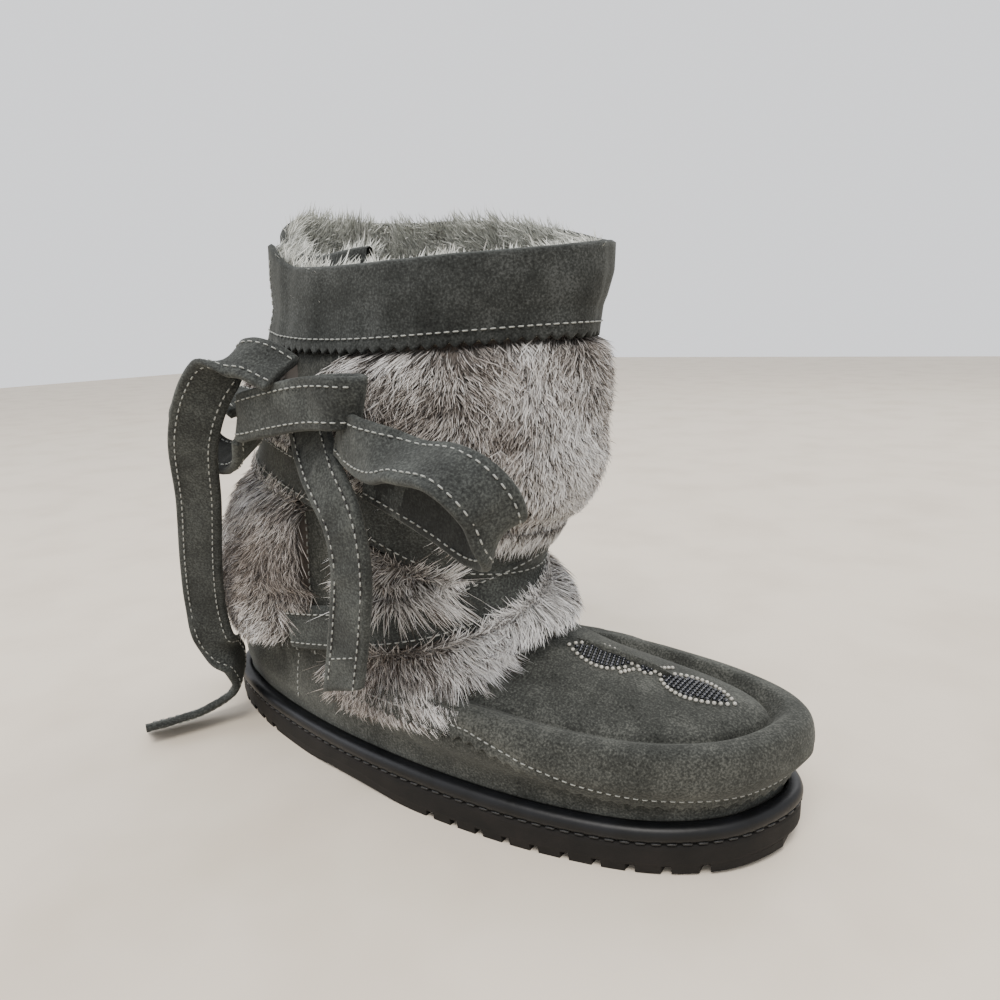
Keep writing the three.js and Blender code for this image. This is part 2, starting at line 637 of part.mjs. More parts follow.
// ---- the bow ------------------------------------------------------------------------------
// Each free part is a flat ribbon along hand-placed points; wx, wy, wz is the direction of its
// width there.
const ROUTES = {
  tie_tail_rear: [
    { x: -12, y: -68, z: 163, wx: 0.3, wy: 0.9, wz: 0.3 },
    { x: -22, y: -71, z: 168, wx: 0.4, wy: 0.8, wz: 0.4 },
    { x: -31, y: -73, z: 168, wx: 0.6, wy: 0.6, wz: 0.5 },
    { x: -42, y: -76, z: 159, wx: 0.78, wy: 0.42, wz: 0.4 },
    { x: -57, y: -74.5, z: 140, wx: 0.85, wy: 0.4, wz: 0.25 },
    { x: -71, y: -67, z: 113, wx: 0.9, wy: 0.4, wz: 0.15 },
    { x: -84, y: -61.5, z: 84, wx: 0.9, wy: 0.4, wz: 0.1 },
    { x: -92, y: -57, z: 62, wx: 0.85, wy: 0.5, wz: -0.05 },
    { x: -93.5, y: -54, z: 46, wx: 0.65, wy: 0.65, wz: -0.3 },
    { x: -94, y: -45, z: 33, wx: -0.4, wy: 0.85, wz: -0.35 },
    { x: -98, y: -41.5, z: 22, wx: -0.72, wy: 0.55, wz: -0.43 },
    { x: -102, y: -44, z: 13, wx: -0.77, wy: 0.45, wz: -0.46 },
    { x: -108, y: -55, z: 7.4, wx: -0.77, wy: 0.45, wz: -0.44 },
    { x: -114, y: -67, z: 6.2, wx: -0.78, wy: 0.45, wz: -0.42 },
    { x: -119, y: -77, z: 6, wx: -0.78, wy: 0.45, wz: -0.42 },
  ],
  tie_tail_front: [
    { x: -18, y: -56.5, z: 152, wx: 0.97, wy: 0.1, wz: 0.2 },
    { x: -14, y: -57.5, z: 143, wx: 0.95, wy: 0.1, wz: 0.3 },
    { x: -7, y: -61.5, z: 136, wx: 0.9, wy: 0.1, wz: 0.4 },
    { x: 2, y: -66.5, z: 129, wx: 0.85, wy: 0.1, wz: 0.5 },
    { x: 12, y: -69, z: 116, wx: 0.95, wy: 0.05, wz: 0.2 },
    { x: 14, y: -69, z: 100, wx: 1, wy: 0, wz: 0 },
    { x: 10, y: -68, z: 80, wx: 1, wy: 0, wz: -0.1 },
    { x: 3, y: -67, z: 54, wx: 1, wy: 0, wz: -0.15 },
  ],
  tie_loop_front: [
    { x: 7, y: -72, z: 145, wx: -0.1, wy: -0.5, wz: 0.85 },
    { x: 21, y: -74.5, z: 142.5, wx: 0, wy: -0.35, wz: 0.9 },
    { x: 34, y: -75.5, z: 140.5, wx: 0.1, wy: 0.3, wz: 0.9 },
    { x: 49, y: -76, z: 140, wx: 0, wy: 0.85, wz: 0.5 },
    { x: 64, y: -79, z: 140, wx: 0.05, wy: 0.85, wz: 0.5 },
    { x: 73, y: -79, z: 136, wx: 0.25, wy: 0.7, wz: 0.65 },
    { x: 77.5, y: -76, z: 129, wx: 0.5, wy: 0.45, wz: 0.7 },
    { x: 75, y: -71, z: 120.5, wx: 0.55, wy: 0.2, wz: 0.8 },
    { x: 62.5, y: -66, z: 117.5, wx: 0.45, wy: 0, wz: 0.9 },
    { x: 47.5, y: -63, z: 121.5, wx: 0.3, wy: 0, wz: 0.95 },
    { x: 31.5, y: -61, z: 126, wx: 0.3, wy: 0, wz: 0.95 },
    { x: 16, y: -60, z: 130.5, wx: 0.3, wy: 0, wz: 0.95 },
  ],
  tie_loop_rear: [
    { x: -39, y: -63, z: 143, wx: 0, wy: 0.8, wz: 0.5 },
    { x: -48, y: -58.5, z: 134, wx: 0, wy: 0.75, wz: 0.55 },
    { x: -60, y: -55.5, z: 130, wx: 0, wy: 0.75, wz: 0.55 },
    { x: -73, y: -56, z: 131, wx: 0, wy: 0.9, wz: 0.3 },
    { x: -83, y: -55.5, z: 136, wx: 0, wy: 1, wz: 0.1 },
    { x: -87, y: -56, z: 145, wx: 0, wy: 1, wz: 0 },
    { x: -80, y: -56, z: 153, wx: 0, wy: 1, wz: 0 },
    { x: -67, y: -56.5, z: 155, wx: 0, wy: 1, wz: 0 },
    { x: -54, y: -58, z: 154, wx: 0, wy: 1, wz: 0.1 },
    { x: -41, y: -60, z: 151, wx: 0, wy: 0.9, wz: 0.4 },
  ],
};

function ribbon(rows, steps, width, thickness) {
  const centre = new THREE.CatmullRomCurve3(rows.map((row) => new THREE.Vector3(row.x, row.y, row.z)));
  const across = new THREE.CatmullRomCurve3(rows.map((row) => new THREE.Vector3(row.wx, row.wy, row.wz)));
  const bevel = thickness * 0.3;
  const halfWidth = width / 2;
  const halfThick = thickness / 2;
  const section = [
    [-halfWidth + bevel, halfThick],
    [halfWidth - bevel, halfThick],
    [halfWidth, halfThick - bevel],
    [halfWidth, -halfThick + bevel],
    [halfWidth - bevel, -halfThick],
    [-halfWidth + bevel, -halfThick],
    [-halfWidth, -halfThick + bevel],
    [-halfWidth, halfThick - bevel],
  ];
  const sections = Array.from({ length: steps + 1 }, (_, n) => {
    const t = n / steps;
    const point = centre.getPoint(t);
    const along = centre.getTangent(t);
    const side = across.getPoint(t);
    side.addScaledVector(along, -side.dot(along)).normalize();
    const face = along.clone().cross(side);
    return section.map(([w, h]) => point.clone().addScaledVector(side, w).addScaledVector(face, h));
  });
  return sweep(sections, false);
}

function knot() {
  const rows = [
    { x: -35, y: -65, z: 148, wx: 0.2, wy: 0.1, wz: 1 },
    { x: -20, y: -67, z: 151, wx: 0.15, wy: 0, wz: 1 },
    { x: 0, y: -67, z: 154, wx: 0.1, wy: 0, wz: 1 },
    { x: 20, y: -64, z: 155, wx: 0, wy: 0, wz: 1 },
  ];
  return ribbon(rows, 10, 17, 9);
}

// ---- assembly -----------------------------------------------------------------------------
const MATERIALS = {
  rubber: new THREE.MeshStandardMaterial({ color: 0x1c1b1b, roughness: 0.75, metalness: 0 }),
  gloss: new THREE.MeshStandardMaterial({ color: 0x14161b, roughness: 0.35, metalness: 0 }),
  suede: new THREE.MeshStandardMaterial({ color: 0x4b4d49, roughness: 0.95, metalness: 0 }),
  tie: new THREE.MeshStandardMaterial({ color: 0x434645, roughness: 0.95, metalness: 0 }),
  fur: new THREE.MeshStandardMaterial({ color: 0x9a948c, roughness: 1, metalness: 0 }),
  board: new THREE.MeshStandardMaterial({ color: 0xa29c90, roughness: 0.95, metalness: 0 }),
};

function piece(name, geometry, material) {
  const mesh = new THREE.Mesh(geometry, MATERIALS[material]);
  mesh.name = name;
  return mesh;
}

const boot = new THREE.Group();
boot.add(piece("outsole", outsole(), "rubber"));
boot.add(piece("welt", welt(), "gloss"));
boot.add(piece("insole", insole(), "board"));
boot.add(piece("upper", upper(), "suede"));
boot.add(piece("shaft_fur", shaftFur(), "fur"));
boot.add(piece("ankle_fur", ankleFur(), "fur"));
boot.add(piece("placket", placket(), "suede"));
boot.add(piece("collar", collar(), "suede"));
boot.add(piece("wrap_straps", fromManifold(straps(0)), "tie"));
boot.add(piece("tie_knot", knot(), "tie"));
for (const [name, rows] of Object.entries(ROUTES)) {
  boot.add(piece(name, ribbon(rows, rows.length * 2, TIE_WIDTH, TIE_THICKNESS), "tie"));
}

export default boot;
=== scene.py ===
"""Mukluk boot: suede foot, fur shaft, suede collar and a tied bow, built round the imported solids."""
import math
import bmesh
import bpy
import numpy as np
from mathutils import Matrix, Vector
from mathutils.bvhtree import BVHTree


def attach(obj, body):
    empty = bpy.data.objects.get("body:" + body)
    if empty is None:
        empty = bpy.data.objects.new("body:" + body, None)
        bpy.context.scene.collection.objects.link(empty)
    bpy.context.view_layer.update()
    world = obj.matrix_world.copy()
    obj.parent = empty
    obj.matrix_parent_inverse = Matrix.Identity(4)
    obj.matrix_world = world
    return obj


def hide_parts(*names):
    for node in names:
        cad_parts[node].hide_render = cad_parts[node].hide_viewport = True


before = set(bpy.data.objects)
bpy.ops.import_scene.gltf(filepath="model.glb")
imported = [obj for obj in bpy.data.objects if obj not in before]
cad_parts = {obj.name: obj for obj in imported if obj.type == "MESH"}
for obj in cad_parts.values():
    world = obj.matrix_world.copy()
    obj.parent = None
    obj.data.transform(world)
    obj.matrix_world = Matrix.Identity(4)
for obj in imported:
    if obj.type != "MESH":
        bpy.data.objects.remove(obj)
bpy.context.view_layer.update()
random = np.random.default_rng(7)
MM = 0.001

# ---- the boot's own sizes, in millimetres ----
TOE_X, HEEL_X = 138.5, -137.0
SOLE_TOP, TOE_SPRING, TOE_RISE, SPRING_START, ARCH_LIFT = 11.3, 2.6, 2.8, 84.0, 2.5
GAP, WALL, FEATHER, WELT_HEIGHT = 0.3, 3.0, 5.0, 5.4
FUR_PRESSED, TIE_WIDTH, TIE_THICK = 4.8, 18.0, 3.0
TURN = 44.0  # places round the boot: 0 heel, 11 outside, 22 front, 33 inside
LEVELS = 20

OUTLINE = np.array([  # x, y outside, y inside
    (-122, -23, 25), (-95, -35.5, 33), (-50, -45.5, 34), (-5, -50.3, 37), (35, -49.3, 45),
    (75, -42.5, 48.5), (108, -30.5, 42), (129, -13, 30)], float)
SECTIONS = np.array([  # heelIn, toeIn, front, heelZ, toeZ, oval
    (5, 5, 132.5, 0.3, 0.3, 0), (5, 5, 132.5, 6.5, 6.5, 0), (4, 4.2, 134, 13, 13, 0),
    (4, 0, 140.5, 20, 20, 0), (4.5, -1, 141.3, 26, 25.5, 0), (5.5, 1.5, 139.5, 32, 31, 0),
    (7, 6.5, 134, 38, 32, 0), (8.5, 10.5, 129.5, 43, 30, 0), (10, 15, 123, 48, 32, 0),
    (12, 19, 112, 53, 34.5, 0), (14, 22, 92, 58, 37.5, 0.05), (16, 22, 70, 63, 41.5, 0.15),
    (18, 20, 51, 68, 47, 0.35), (20, 20, 38, 74, 57, 0.6), (22, 20, 32, 81, 69, 0.85),
    (22, 20, 32, 92, 82, 1), (22, 20, 32, 107, 98, 1), (22, 20, 32, 122, 115, 1),
    (22, 20, 32, 139, 135, 1), (22, 20, 32, 156, 154, 1), (22, 20, 32, 173, 171, 1)], float)
OVALS = np.array([  # z, rear, fore, lateral, medial
    (50, -124, 46, -43, 41), (68, -120, 38, -43, 41), (85, -115, 32, -42, 41), (100, -106, 40, -41, 41),
    (115, -96, 51, -41, 42), (130, -87, 58, -42, 43), (150, -82, 60, -43, 44), (168, -77, 60, -42, 44),
    (185, -71, 63, -41, 43)], float)
WRAP = np.array([(0, 134), (6, 130), (11, 120), (13.5, 110), (16.8, 97), (22, 92), (27, 97),
                 (30.5, 110), (34, 121), (39, 131), (44, 134)], float)
LOWER_WRAP = np.array([(10.6, 61), (14.5, 68), (16.4, 72), (19, 79), (22, 87), (25, 93)], float)
FUR_STAND = np.array([  # z, rear, fore, lateral, medial
    (24, 7, 3, 7, 7), (45, 6, 6, 9, 9), (66, 13, 16, 11, 10), (86, 14, 15, 11, 10), (110, 12, 11, 11, 11),
    (140, 10, 11, 11, 11), (160, 15, 11, 11, 11), (176, 14, 9, 9, 9)], float)
COLLAR_RIM = np.array([  # place, z, flare
    (0, 223, 2), (5, 208, 1), (8, 198, 0), (16, 198, 1), (22, 201, 4), (26, 204, 4), (30, 212, 2),
    (34, 219, 1), (39, 221, 2), (44, 223, 2)], float)
COLLAR_HEM = (176, 168, 172, 171)  # heel, outside, inside, front
COLLAR_START, COLLAR_END = 10.5, -39.3
VAMP_SEAM = np.array([(-30, 40), (10, 43.5), (40, 42), (60, 37), (80, 31.5), (100, 28.5), (120, 27.5),
                      (145, 27)], float)


# ---- small maths ----
def smoothstep(low, high, t):
    s = np.clip((t - low) / (high - low), 0, 1)
    return s * s * (3 - 2 * s)


def bump(low, high, t):
    return np.sin(np.pi * np.clip((t - low) / (high - low), 0, 1)) ** 2


def smooth_table(table, column, at):
    """A table read by a cubic through its rows."""
    keys, values = table[:, 0], table[:, column]
    t = np.clip(at, keys[0], keys[-1])
    i = np.clip(np.searchsorted(keys, t, side="left") - 1, 0, len(keys) - 2)
    before, after = np.maximum(np.arange(len(keys)) - 1, 0), np.minimum(np.arange(len(keys)) + 1, len(keys)
        - 1)
    slope = (values[after] - values[before]) / (keys[after] - keys[before])
    span = keys[i + 1] - keys[i]
    s = (t - keys[i]) / span
    rise = (3 * s * s - 2 * s ** 3) * (values[i + 1] - values[i])
    return values[i] + rise + (s ** 3 - 2 * s * s + s) * span * slope[i] + (s ** 3 - s * s) * span * slope[i
        + 1]


def around(heel, outside, inside, front, place):
    angle = 2 * np.pi * place / TURN
    side = np.sin(angle)
    fore = (1 - np.cos(angle)) / 2
    middle = heel + (front - heel) * fore
    return middle + (np.where(side > 0, outside, inside) - middle) * side * side


def curve(points, t, closed=False):
    """A centripetal curve through points, read at t from 0 to 1."""
    points = np.asarray(points, float)
    n = len(points)
    if closed:
        padded = np.vstack([points[-1:], points, points[:2]])
        p = np.asarray(t) * n
    else:
        padded = np.vstack([2 * points[0] - points[1], points, 2 * points[-1] - points[-2]])
        p = np.asarray(t) * (n - 1)
    last = n - 1 if closed else n - 2
    i = np.clip(np.floor(p).astype(int), 0, last)
    s = (p - i)[:, None]
    p0, p1, p2, p3 = padded[i], padded[i + 1], padded[i + 2], padded[i + 3]
    d0, d1, d2 = (np.maximum(np.linalg.norm(b - a, axis=1), 1e-9)[:, None] ** 0.5 for a,
                  b in ((p0, p1), (p1, p2), (p2, p3)))
    m1 = ((p1 - p0) / d0 - (p2 - p0) / (d0 + d1) + (p2 - p1) / d1) * d1
    m2 = ((p2 - p1) / d1 - (p3 - p1) / (d1 + d2) + (p3 - p2) / d2) * d1
    return ((2 * s ** 3 - 3 * s ** 2 + 1) * p1 + (s ** 3 - 2 * s ** 2 + s) * m1
            + (3 * s ** 2 - 2 * s ** 3) * p2 + (s ** 3 - s ** 2) * m2)


def unit(v):
    return v / np.maximum(np.linalg.norm(v, axis=-1, keepdims=True), 1e-9)


def noise(u, v, seed=0, waves=7, scale=1.0):
    """A smooth wandering value, about -1 to 1, from crossed waves."""
    r = np.random.default_rng(seed)
    total = 0
    for _ in range(waves):
        a, b, c = r.normal(0, scale), r.normal(0, scale), r.uniform(0, 2 * np.pi)
        total = total + np.sin(a * u + b * v + c)
    return total / math.sqrt(waves)


# ---- sole lines and the suede surface ----
def underside(x):
    lift = TOE_SPRING * np.clip((x - SPRING_START) / (TOE_X - SPRING_START), 0, 1) ** 2
    return lift + ARCH_LIFT * bump(-52, 16, x)


def sole_top(x):
    rise = TOE_RISE * np.clip((x - SPRING_START) / (TOE_X - SPRING_START), 0, 1) ** 2
    return SOLE_TOP + 1.2 * bump(-70, 90, x) + rise


def dense_outline():
    rows = [(HEEL_X, 1)] + [(x, a) for x, a, _ in OUTLINE] + [(TOE_X, 13)] + [(x, b) for x, _,
        b in OUTLINE[::-1]]
    line = curve(rows, np.linspace(0, 1, 4001), closed=True)
    length = np.concatenate([[0], np.cumsum(np.linalg.norm(np.diff(line, axis=0), axis=1))])
    return line, length / length[-1]


DENSE, DENSE_AT = dense_outline()


def outline(f):
    return np.stack([np.interp(f % 1.0, DENSE_AT, DENSE[:, k]) for k in (0, 1)], -1)


def inward(f):
    along = unit(outline(f + 0.01) - outline(f - 0.01))
    return np.stack([-along[:, 1], along[:, 0]], -1)


def sole_ring(f, inset, height):
    xy = outline(f) + inward(f) * inset
    return np.column_stack([xy, height(xy[:, 0])])


def oval_point(place, z):
    angle = 2 * np.pi * place / TURN
    rear, fore, outside, inside = (np.interp(z, OVALS[:, 0], OVALS[:, k]) for k in (1, 2, 3, 4))
    side = np.sin(angle)
    sharp = np.where(np.cos(angle) < 0, 1.18, 1.0)
    y = -np.sign(side) * np.abs(side) ** sharp * np.where(side > 0, -outside, inside)
    return np.stack([(rear + fore) / 2 - (fore - rear) / 2 * np.cos(angle), y], -1)


def section_ring(row, f):
    heel_in, toe_in, front, heel_z, toe_z, oval = row
    base = outline(f)
    fore = smoothstep(-70, 60, base[:, 0])
    foot = base + inward(f) * (heel_in + (toe_in - heel_in) * fore)[:, None]
    tip = TOE_X - toe_in
    foot[:, 0] -= (tip - front) * np.clip((foot[:, 0] + 40) / (tip + 40), 0, 1) ** 1.3
    share = smoothstep(0.1, 0.9, (foot[:, 0] - HEEL_X) / (front - HEEL_X))
    z = heel_z + (toe_z - heel_z) * share + sole_top(foot[:, 0]) * (1 - oval) + SOLE_TOP * oval
    sides = smoothstep(42, 60, z) * (1 - smoothstep(-20, 38, foot[:, 0]))
    mix = (oval + (1 - oval) * sides)[:, None]
    return np.column_stack([foot * (1 - mix) + oval_point(f * TURN, z) * mix, z])


def level_curve(rings, level):
    """Runs a smooth curve through the section rings, at any level."""
    padded = np.concatenate([2 * rings[:1] - rings[1:2], rings, 2 * rings[-1:] - rings[-2:-1]])
    i = np.clip(np.floor(level).astype(int), 0, LEVELS - 1)
    s = (level - i)[:, None, None]
    p0, p1, p2, p3 = padded[i], padded[i + 1], padded[i + 2], padded[i + 3]
    m1, m2 = (p2 - p0) / 2, (p3 - p1) / 2
    return ((2 * s ** 3 - 3 * s ** 2 + 1) * p1 + (s ** 3 - 2 * s ** 2 + s) * m1
            + (3 * s ** 2 - 2 * s ** 3) * p2 + (s ** 3 - s ** 2) * m2)


def grid_normals(grid):
    """Outward normals of a grid whose columns run round the boot and rows run up."""
    along = np.roll(grid, -1, axis=1) - np.roll(grid, 1, axis=1)
    up = np.gradient(grid, axis=0)
    return unit(np.cross(along, up))


COLUMNS = 360
F_AT = np.arange(COLUMNS) / COLUMNS
LEVEL_AT = np.concatenate([np.arange(0, 6.4, 0.16), np.arange(6.4, 8.2, 0.06), np.arange(8.2, 12, 0.2),
                           np.arange(12, 20.01, 0.4)])
SURFACE = level_curve(np.array([section_ring(row, F_AT) for row in SECTIONS]), LEVEL_AT)
SURFACE_NORMAL = grid_normals(SURFACE)


def surface(place, level, offset=0.0):
    """Suede surface points and normals at places and levels of the same shape."""
    f = np.asarray(place, float) / TURN % 1.0 * COLUMNS
    c0 = np.floor(f).astype(int)
    row = np.interp(level, LEVEL_AT, np.arange(len(LEVEL_AT)))
    r0 = np.clip(np.floor(row).astype(int), 0, len(LEVEL_AT) - 2)
    a, b = (row - r0)[..., None], (f - c0)[..., None]
    c0, c1 = c0 % COLUMNS, (c0 + 1) % COLUMNS

    def blend(grid):
        left = grid[r0, c0] * (1 - a) + grid[r0 + 1, c0] * a
        right = grid[r0, c1] * (1 - a) + grid[r0 + 1, c1] * a
        return left * (1 - b) + right * b

    point, normal = blend(SURFACE), unit(blend(SURFACE_NORMAL))
    return point + normal * np.asarray(offset)[..., None], normal


# ---- fur and shaft lines ----
def wrap_z(place):
    return smooth_table(WRAP, 1, place % TURN)


def lower_wrap_z(place):
    return smooth_table(LOWER_WRAP, 1, place)


def shaft_point(place, z, distance):
    along = unit(oval_point(place + 0.05, z) - oval_point(place - 0.05, z))
    xy = oval_point(place, z) + np.stack([along[..., 1], -along[..., 0]], -1) * np.asarray(distance)[...,
        None]
    return np.concatenate([xy, z[..., None]], -1)


def pressed_by(centre, z):
    return 1 - smoothstep(TIE_WIDTH / 2 + 1, TIE_WIDTH / 2 + 10, np.abs(z - centre))


def fur_depth(place, z):
    rear, fore, outside, inside = (smooth_table(FUR_STAND, k, z) for k in (1, 2, 3, 4))
    depth = around(rear, outside, inside, fore, place)
    near = smoothstep(8.6, 10.6, place) * (1 - smoothstep(22, 26, place))
    pressed = np.maximum(pressed_by(wrap_z(place), z), near * pressed_by(lower_wrap_z(place), z))
    return depth + (FUR_PRESSED - depth) * pressed


# ---- making meshes ----
PIECES = []


def grid_faces(rows, cols, wrap_rows=False, wrap_cols=False):
    r, c = np.meshgrid(np.arange(rows if wrap_rows else rows - 1),
                       np.arange(cols if wrap_cols else cols - 1), indexing="ij")
    r2, c2 = (r + 1) % rows, (c + 1) % cols
    return np.stack([r * cols + c, r * cols + c2, r2 * cols + c2, r2 * cols + c], -1).reshape(-1, 4)


def make(name, points, faces, material, node=None, smooth=True, tidy=True, tone=None):
    """One finished piece from arrays of points in millimetres and faces."""
    mesh = bpy.data.meshes.new(name)
    mesh.from_pydata((np.asarray(points, float).reshape(-1, 3) * MM).tolist(), [],
                     [list(map(int, f)) for f in faces])
    if tidy:
        bm = bmesh.new()
        bm.from_mesh(mesh)
        bmesh.ops.remove_doubles(bm, verts=bm.verts, dist=1e-6)
        bmesh.ops.recalc_face_normals(bm, faces=bm.faces)
        bm.to_mesh(mesh)
        bm.free()
    if smooth:
        mesh.polygons.foreach_set("use_smooth", np.ones(len(mesh.polygons), bool))
    if tone is not None:
        layer = mesh.color_attributes.new("tone", "FLOAT_COLOR", "POINT")
        layer.data.foreach_set("color",
                               np.column_stack([tone, np.ones(len(tone))]).astype(np.float32).ravel())
    mesh.materials.append(material)
    piece = bpy.data.objects.new(name, mesh)
    bpy.context.scene.collection.objects.link(piece)
    if node:
        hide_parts(*([node] if isinstance(node, str) else node))
    PIECES.append(piece)
    return piece


def tube_faces(count, ring, closed=False):
    """Faces of rings joined along their length, with flat ends when it isn't closed."""
    faces = grid_faces(count, ring, closed, True).tolist()
    if not closed:
        faces.append(list(range(ring)))
        faces.append(list(range((count - 1) * ring, count * ring)))
    return faces


def stitch_points(line, normal, pitch=3.2, length=1.9, radius=0.27, sink=-0.12, phase=0.5):
    """Small thread bars laid along a line: returns points and faces."""
    gone = np.concatenate([[0], np.cumsum(np.linalg.norm(np.diff(line, axis=0), axis=1))])
    starts = np.arange(pitch * phase, gone[-1] - pitch / 2, pitch)

    def read(table, at):
        return np.stack([np.interp(at, gone, table[:, k]) for k in range(3)], -1)

    points, faces = [], []
    ring = np.linspace(0, 2 * np.pi, 7)[:-1]
    for start in starts:
        at = start + np.array([-0.5, -0.36, 0.36, 0.5]) * length
        centre = read(line, at)
        out = unit(read(normal, at))
        along = unit(centre[-1] - centre[0])
        side = unit(np.cross(out, along))
        size = radius * np.array([0.35, 1, 1, 0.35])
        base = len(points) * 24
        lift = radius * np.array([-0.6, 0.55, 0.55, -0.6]) - sink
        block = (centre[:, None] + out[:, None]
                 * (lift[:, None, None] + np.sin(ring)[None, :, None] * size[:, None, None])
                 + side[:, None] * (np.cos(ring)[None, :, None] * size[:, None, None]))
        points.append(block.reshape(-1, 3))
        faces += [[base + i for i in f] for f in tube_faces(4, 6)]
    return np.concatenate(points), faces


def joined(parts):
    """Joins (points, faces) pairs into one pair."""
    points, faces, base = [], [], 0
    for p, f in parts:
        points.append(np.asarray(p, float).reshape(-1, 3))
        faces += [[base + i for i in face] for face in f]
        base += len(points[-1])
    return np.concatenate(points), faces


# ---- materials ----
def srgb(code):
    """A hex colour as linear values."""
    values = [int(code[i:i + 2], 16) / 255 for i in (1, 3, 5)]
    return [v / 12.92 if v <= 0.04045 else ((v + 0.055) / 1.055) ** 2.4 for v in values] + [1.0]


def add(material, kind, links=None, **settings):
    """Adds a node, sets its values and links named inputs to other nodes' outputs."""
    node = material.node_tree.nodes.new(kind)
    for key, value in settings.items():
        if key.startswith("in_"):
            node.inputs[int(key[3:]) if key[3:].isdigit()
                        else key[3:].replace("_", " ")].default_value = value
        else:
            setattr(node, key, value)
    for key, output in (links or {}).items():
        material.node_tree.links.new(output, node.inputs[key])
    return node


def ramp(material, source, stops):
    node = add(material, "ShaderNodeValToRGB", {0: source})
    while len(node.color_ramp.elements) < len(stops):
        node.color_ramp.elements.new(0.5)
    for element, (at, code) in zip(node.color_ramp.elements, stops):
        element.position = at
        element.color = srgb(code)
    return node.outputs[0]


def new_material(name):
    material = bpy.data.materials.new(name)
    material.use_nodes = True
    return material, material.node_tree.nodes["Principled BSDF"]


def suede(name, dark, mid, light, nap=0.45):
    """Brushed suede: mottled nap in soft patches, a fine grain and a faint dusty sheen."""
    material, shader = new_material(name)
    where = add(material, "ShaderNodeTexCoord").outputs["Object"]
    patches = add(material, "ShaderNodeTexNoise", {"Vector": where}, in_Scale=55.0, in_Detail=5.0,
                  in_Roughness=0.65)
    grain = add(material, "ShaderNodeTexNoise", {"Vector": where}, in_Scale=1300.0, in_Detail=2.0,
                in_Roughness=0.6)
    both = add(material, "ShaderNodeMix", {2: patches.outputs[0], 3: grain.outputs[0]}, in_0=0.55)
    colour = ramp(material, both.outputs[0], [(0.34, dark), (0.5, mid), (0.66, light)])
    bump_node = add(material, "ShaderNodeBump", {"Height": grain.outputs[0]}, in_Strength=nap,
                    in_Distance=0.0004)
    material.node_tree.links.new(colour, shader.inputs["Base Color"])
    material.node_tree.links.new(bump_node.outputs[0], shader.inputs["Normal"])
    shader.inputs["Roughness"].default_value = 0.95
    shader.inputs["Specular IOR Level"].default_value = 0.15
    shader.inputs["Sheen Weight"].default_value = 0.14
    shader.inputs["Sheen Roughness"].default_value = 0.6
    shader.inputs["Sheen Tint"].default_value = srgb("#c9ccc4")
    return material


def rubber(name, dark, light, rough, texture):
    """Moulded rubber: near black, faint scuffs, a pebbled or smooth skin."""
    material, shader = new_material(name)
    where = add(material, "ShaderNodeTexCoord").outputs["Object"]
    scuffs = add(material, "ShaderNodeTexNoise", {"Vector": where}, in_Scale=90.0, in_Detail=6.0)
    skin = add(material, "ShaderNodeTexNoise", {"Vector": where}, in_Scale=texture, in_Detail=2.0)
    colour = ramp(material, scuffs.outputs[0], [(0.35, dark), (0.7, light)])
    bump_node = add(material, "ShaderNodeBump", {"Height": skin.outputs[0]}, in_Strength=0.25,
                    in_Distance=0.0003)
    material.node_tree.links.new(colour, shader.inputs["Base Color"])
    material.node_tree.links.new(bump_node.outputs[0], shader.inputs["Normal"])
    shader.inputs["Roughness"].default_value = rough
    shader.inputs["Specular IOR Level"].default_value = 0.27
    return material


def hair(name, rough=0.6):
    """Fur fibres: each carries its own root, middle and tip tone."""
    material, shader = new_material(name)
    tone = add(material, "ShaderNodeAttribute", attribute_name="tone")
    material.node_tree.links.new(tone.outputs["Color"], shader.inputs["Base Color"])
    shader.inputs["Roughness"].default_value = rough
    shader.inputs["Specular IOR Level"].default_value = 0.25
    shader.inputs["Sheen Weight"].default_value = 0.15
    return material


def plain(name, code, rough, grain_scale, spread="#000000"):
    """A plain body colour with a fine fibre grain."""
    material, shader = new_material(name)
    where = add(material, "ShaderNodeTexCoord").outputs["Object"]
    grain = add(material, "ShaderNodeTexNoise", {"Vector": where}, in_Scale=grain_scale, in_Detail=3.0)
    colour = ramp(material, grain.outputs[0], [(0.3, spread), (0.55, code)])
    bump_node = add(material, "ShaderNodeBump", {"Height": grain.outputs[0]}, in_Strength=0.4,
                    in_Distance=0.0003)
    material.node_tree.links.new(colour, shader.inputs["Base Color"])
    material.node_tree.links.new(bump_node.outputs[0], shader.inputs["Normal"])
    shader.inputs["Roughness"].default_value = rough
    return material


# Brushed suede: a short dull nap with faint cloudy patches; one darker copy is painted shade.
SUEDE = suede("suede_grey", "#161715", "#333431", "#555651")
SUEDE_COLLAR = suede("suede_collar", "#0e0f0f", "#272928", "#434544")
SUEDE_TIE = suede("suede_tie", "#131414", "#2d2f2e", "#4a4d4a")
# painted shade: a darker suede for the shaded inside of the tie loops and the shadow under the pinked vamp
# edge
SUEDE_PAINTED_SHADE = suede("suede_painted_shade", "#0b0b0b", "#191a1a", "#2a2c2b")
# Moulded rubber: nearly black, matt on the sole and with a soft shine on the welt.
RUBBER_SOLE = rubber("rubber_matt", "#0c0b0a", "#181513", 0.75, 2600.0)
RUBBER_WELT = rubber("rubber_gloss", "#070809", "#101114", 0.42, 400.0)
# Rabbit fur and lining pile: fine hairs with a dark root and a pale tip.
FUR_HAIR = hair("rabbit_hair")
LINING_HAIR = hair("lining_hair")
LINING_WOOL = plain("lining_wool", "#a9a99e", 0.95, 600.0, "#77776c")
# Thread and felt: dull spun fibre, pale on the seams and black along the sole.
THREAD = plain("cotton_thread", "#92948f", 0.7, 2500.0, "#70726e")
DARK_THREAD = plain("waxed_thread", "#0b0b0c", 0.5, 2500.0, "#050505")
FELT = plain("felt_insole", "#8f8a7f", 0.95, 900.0, "#6d695f")


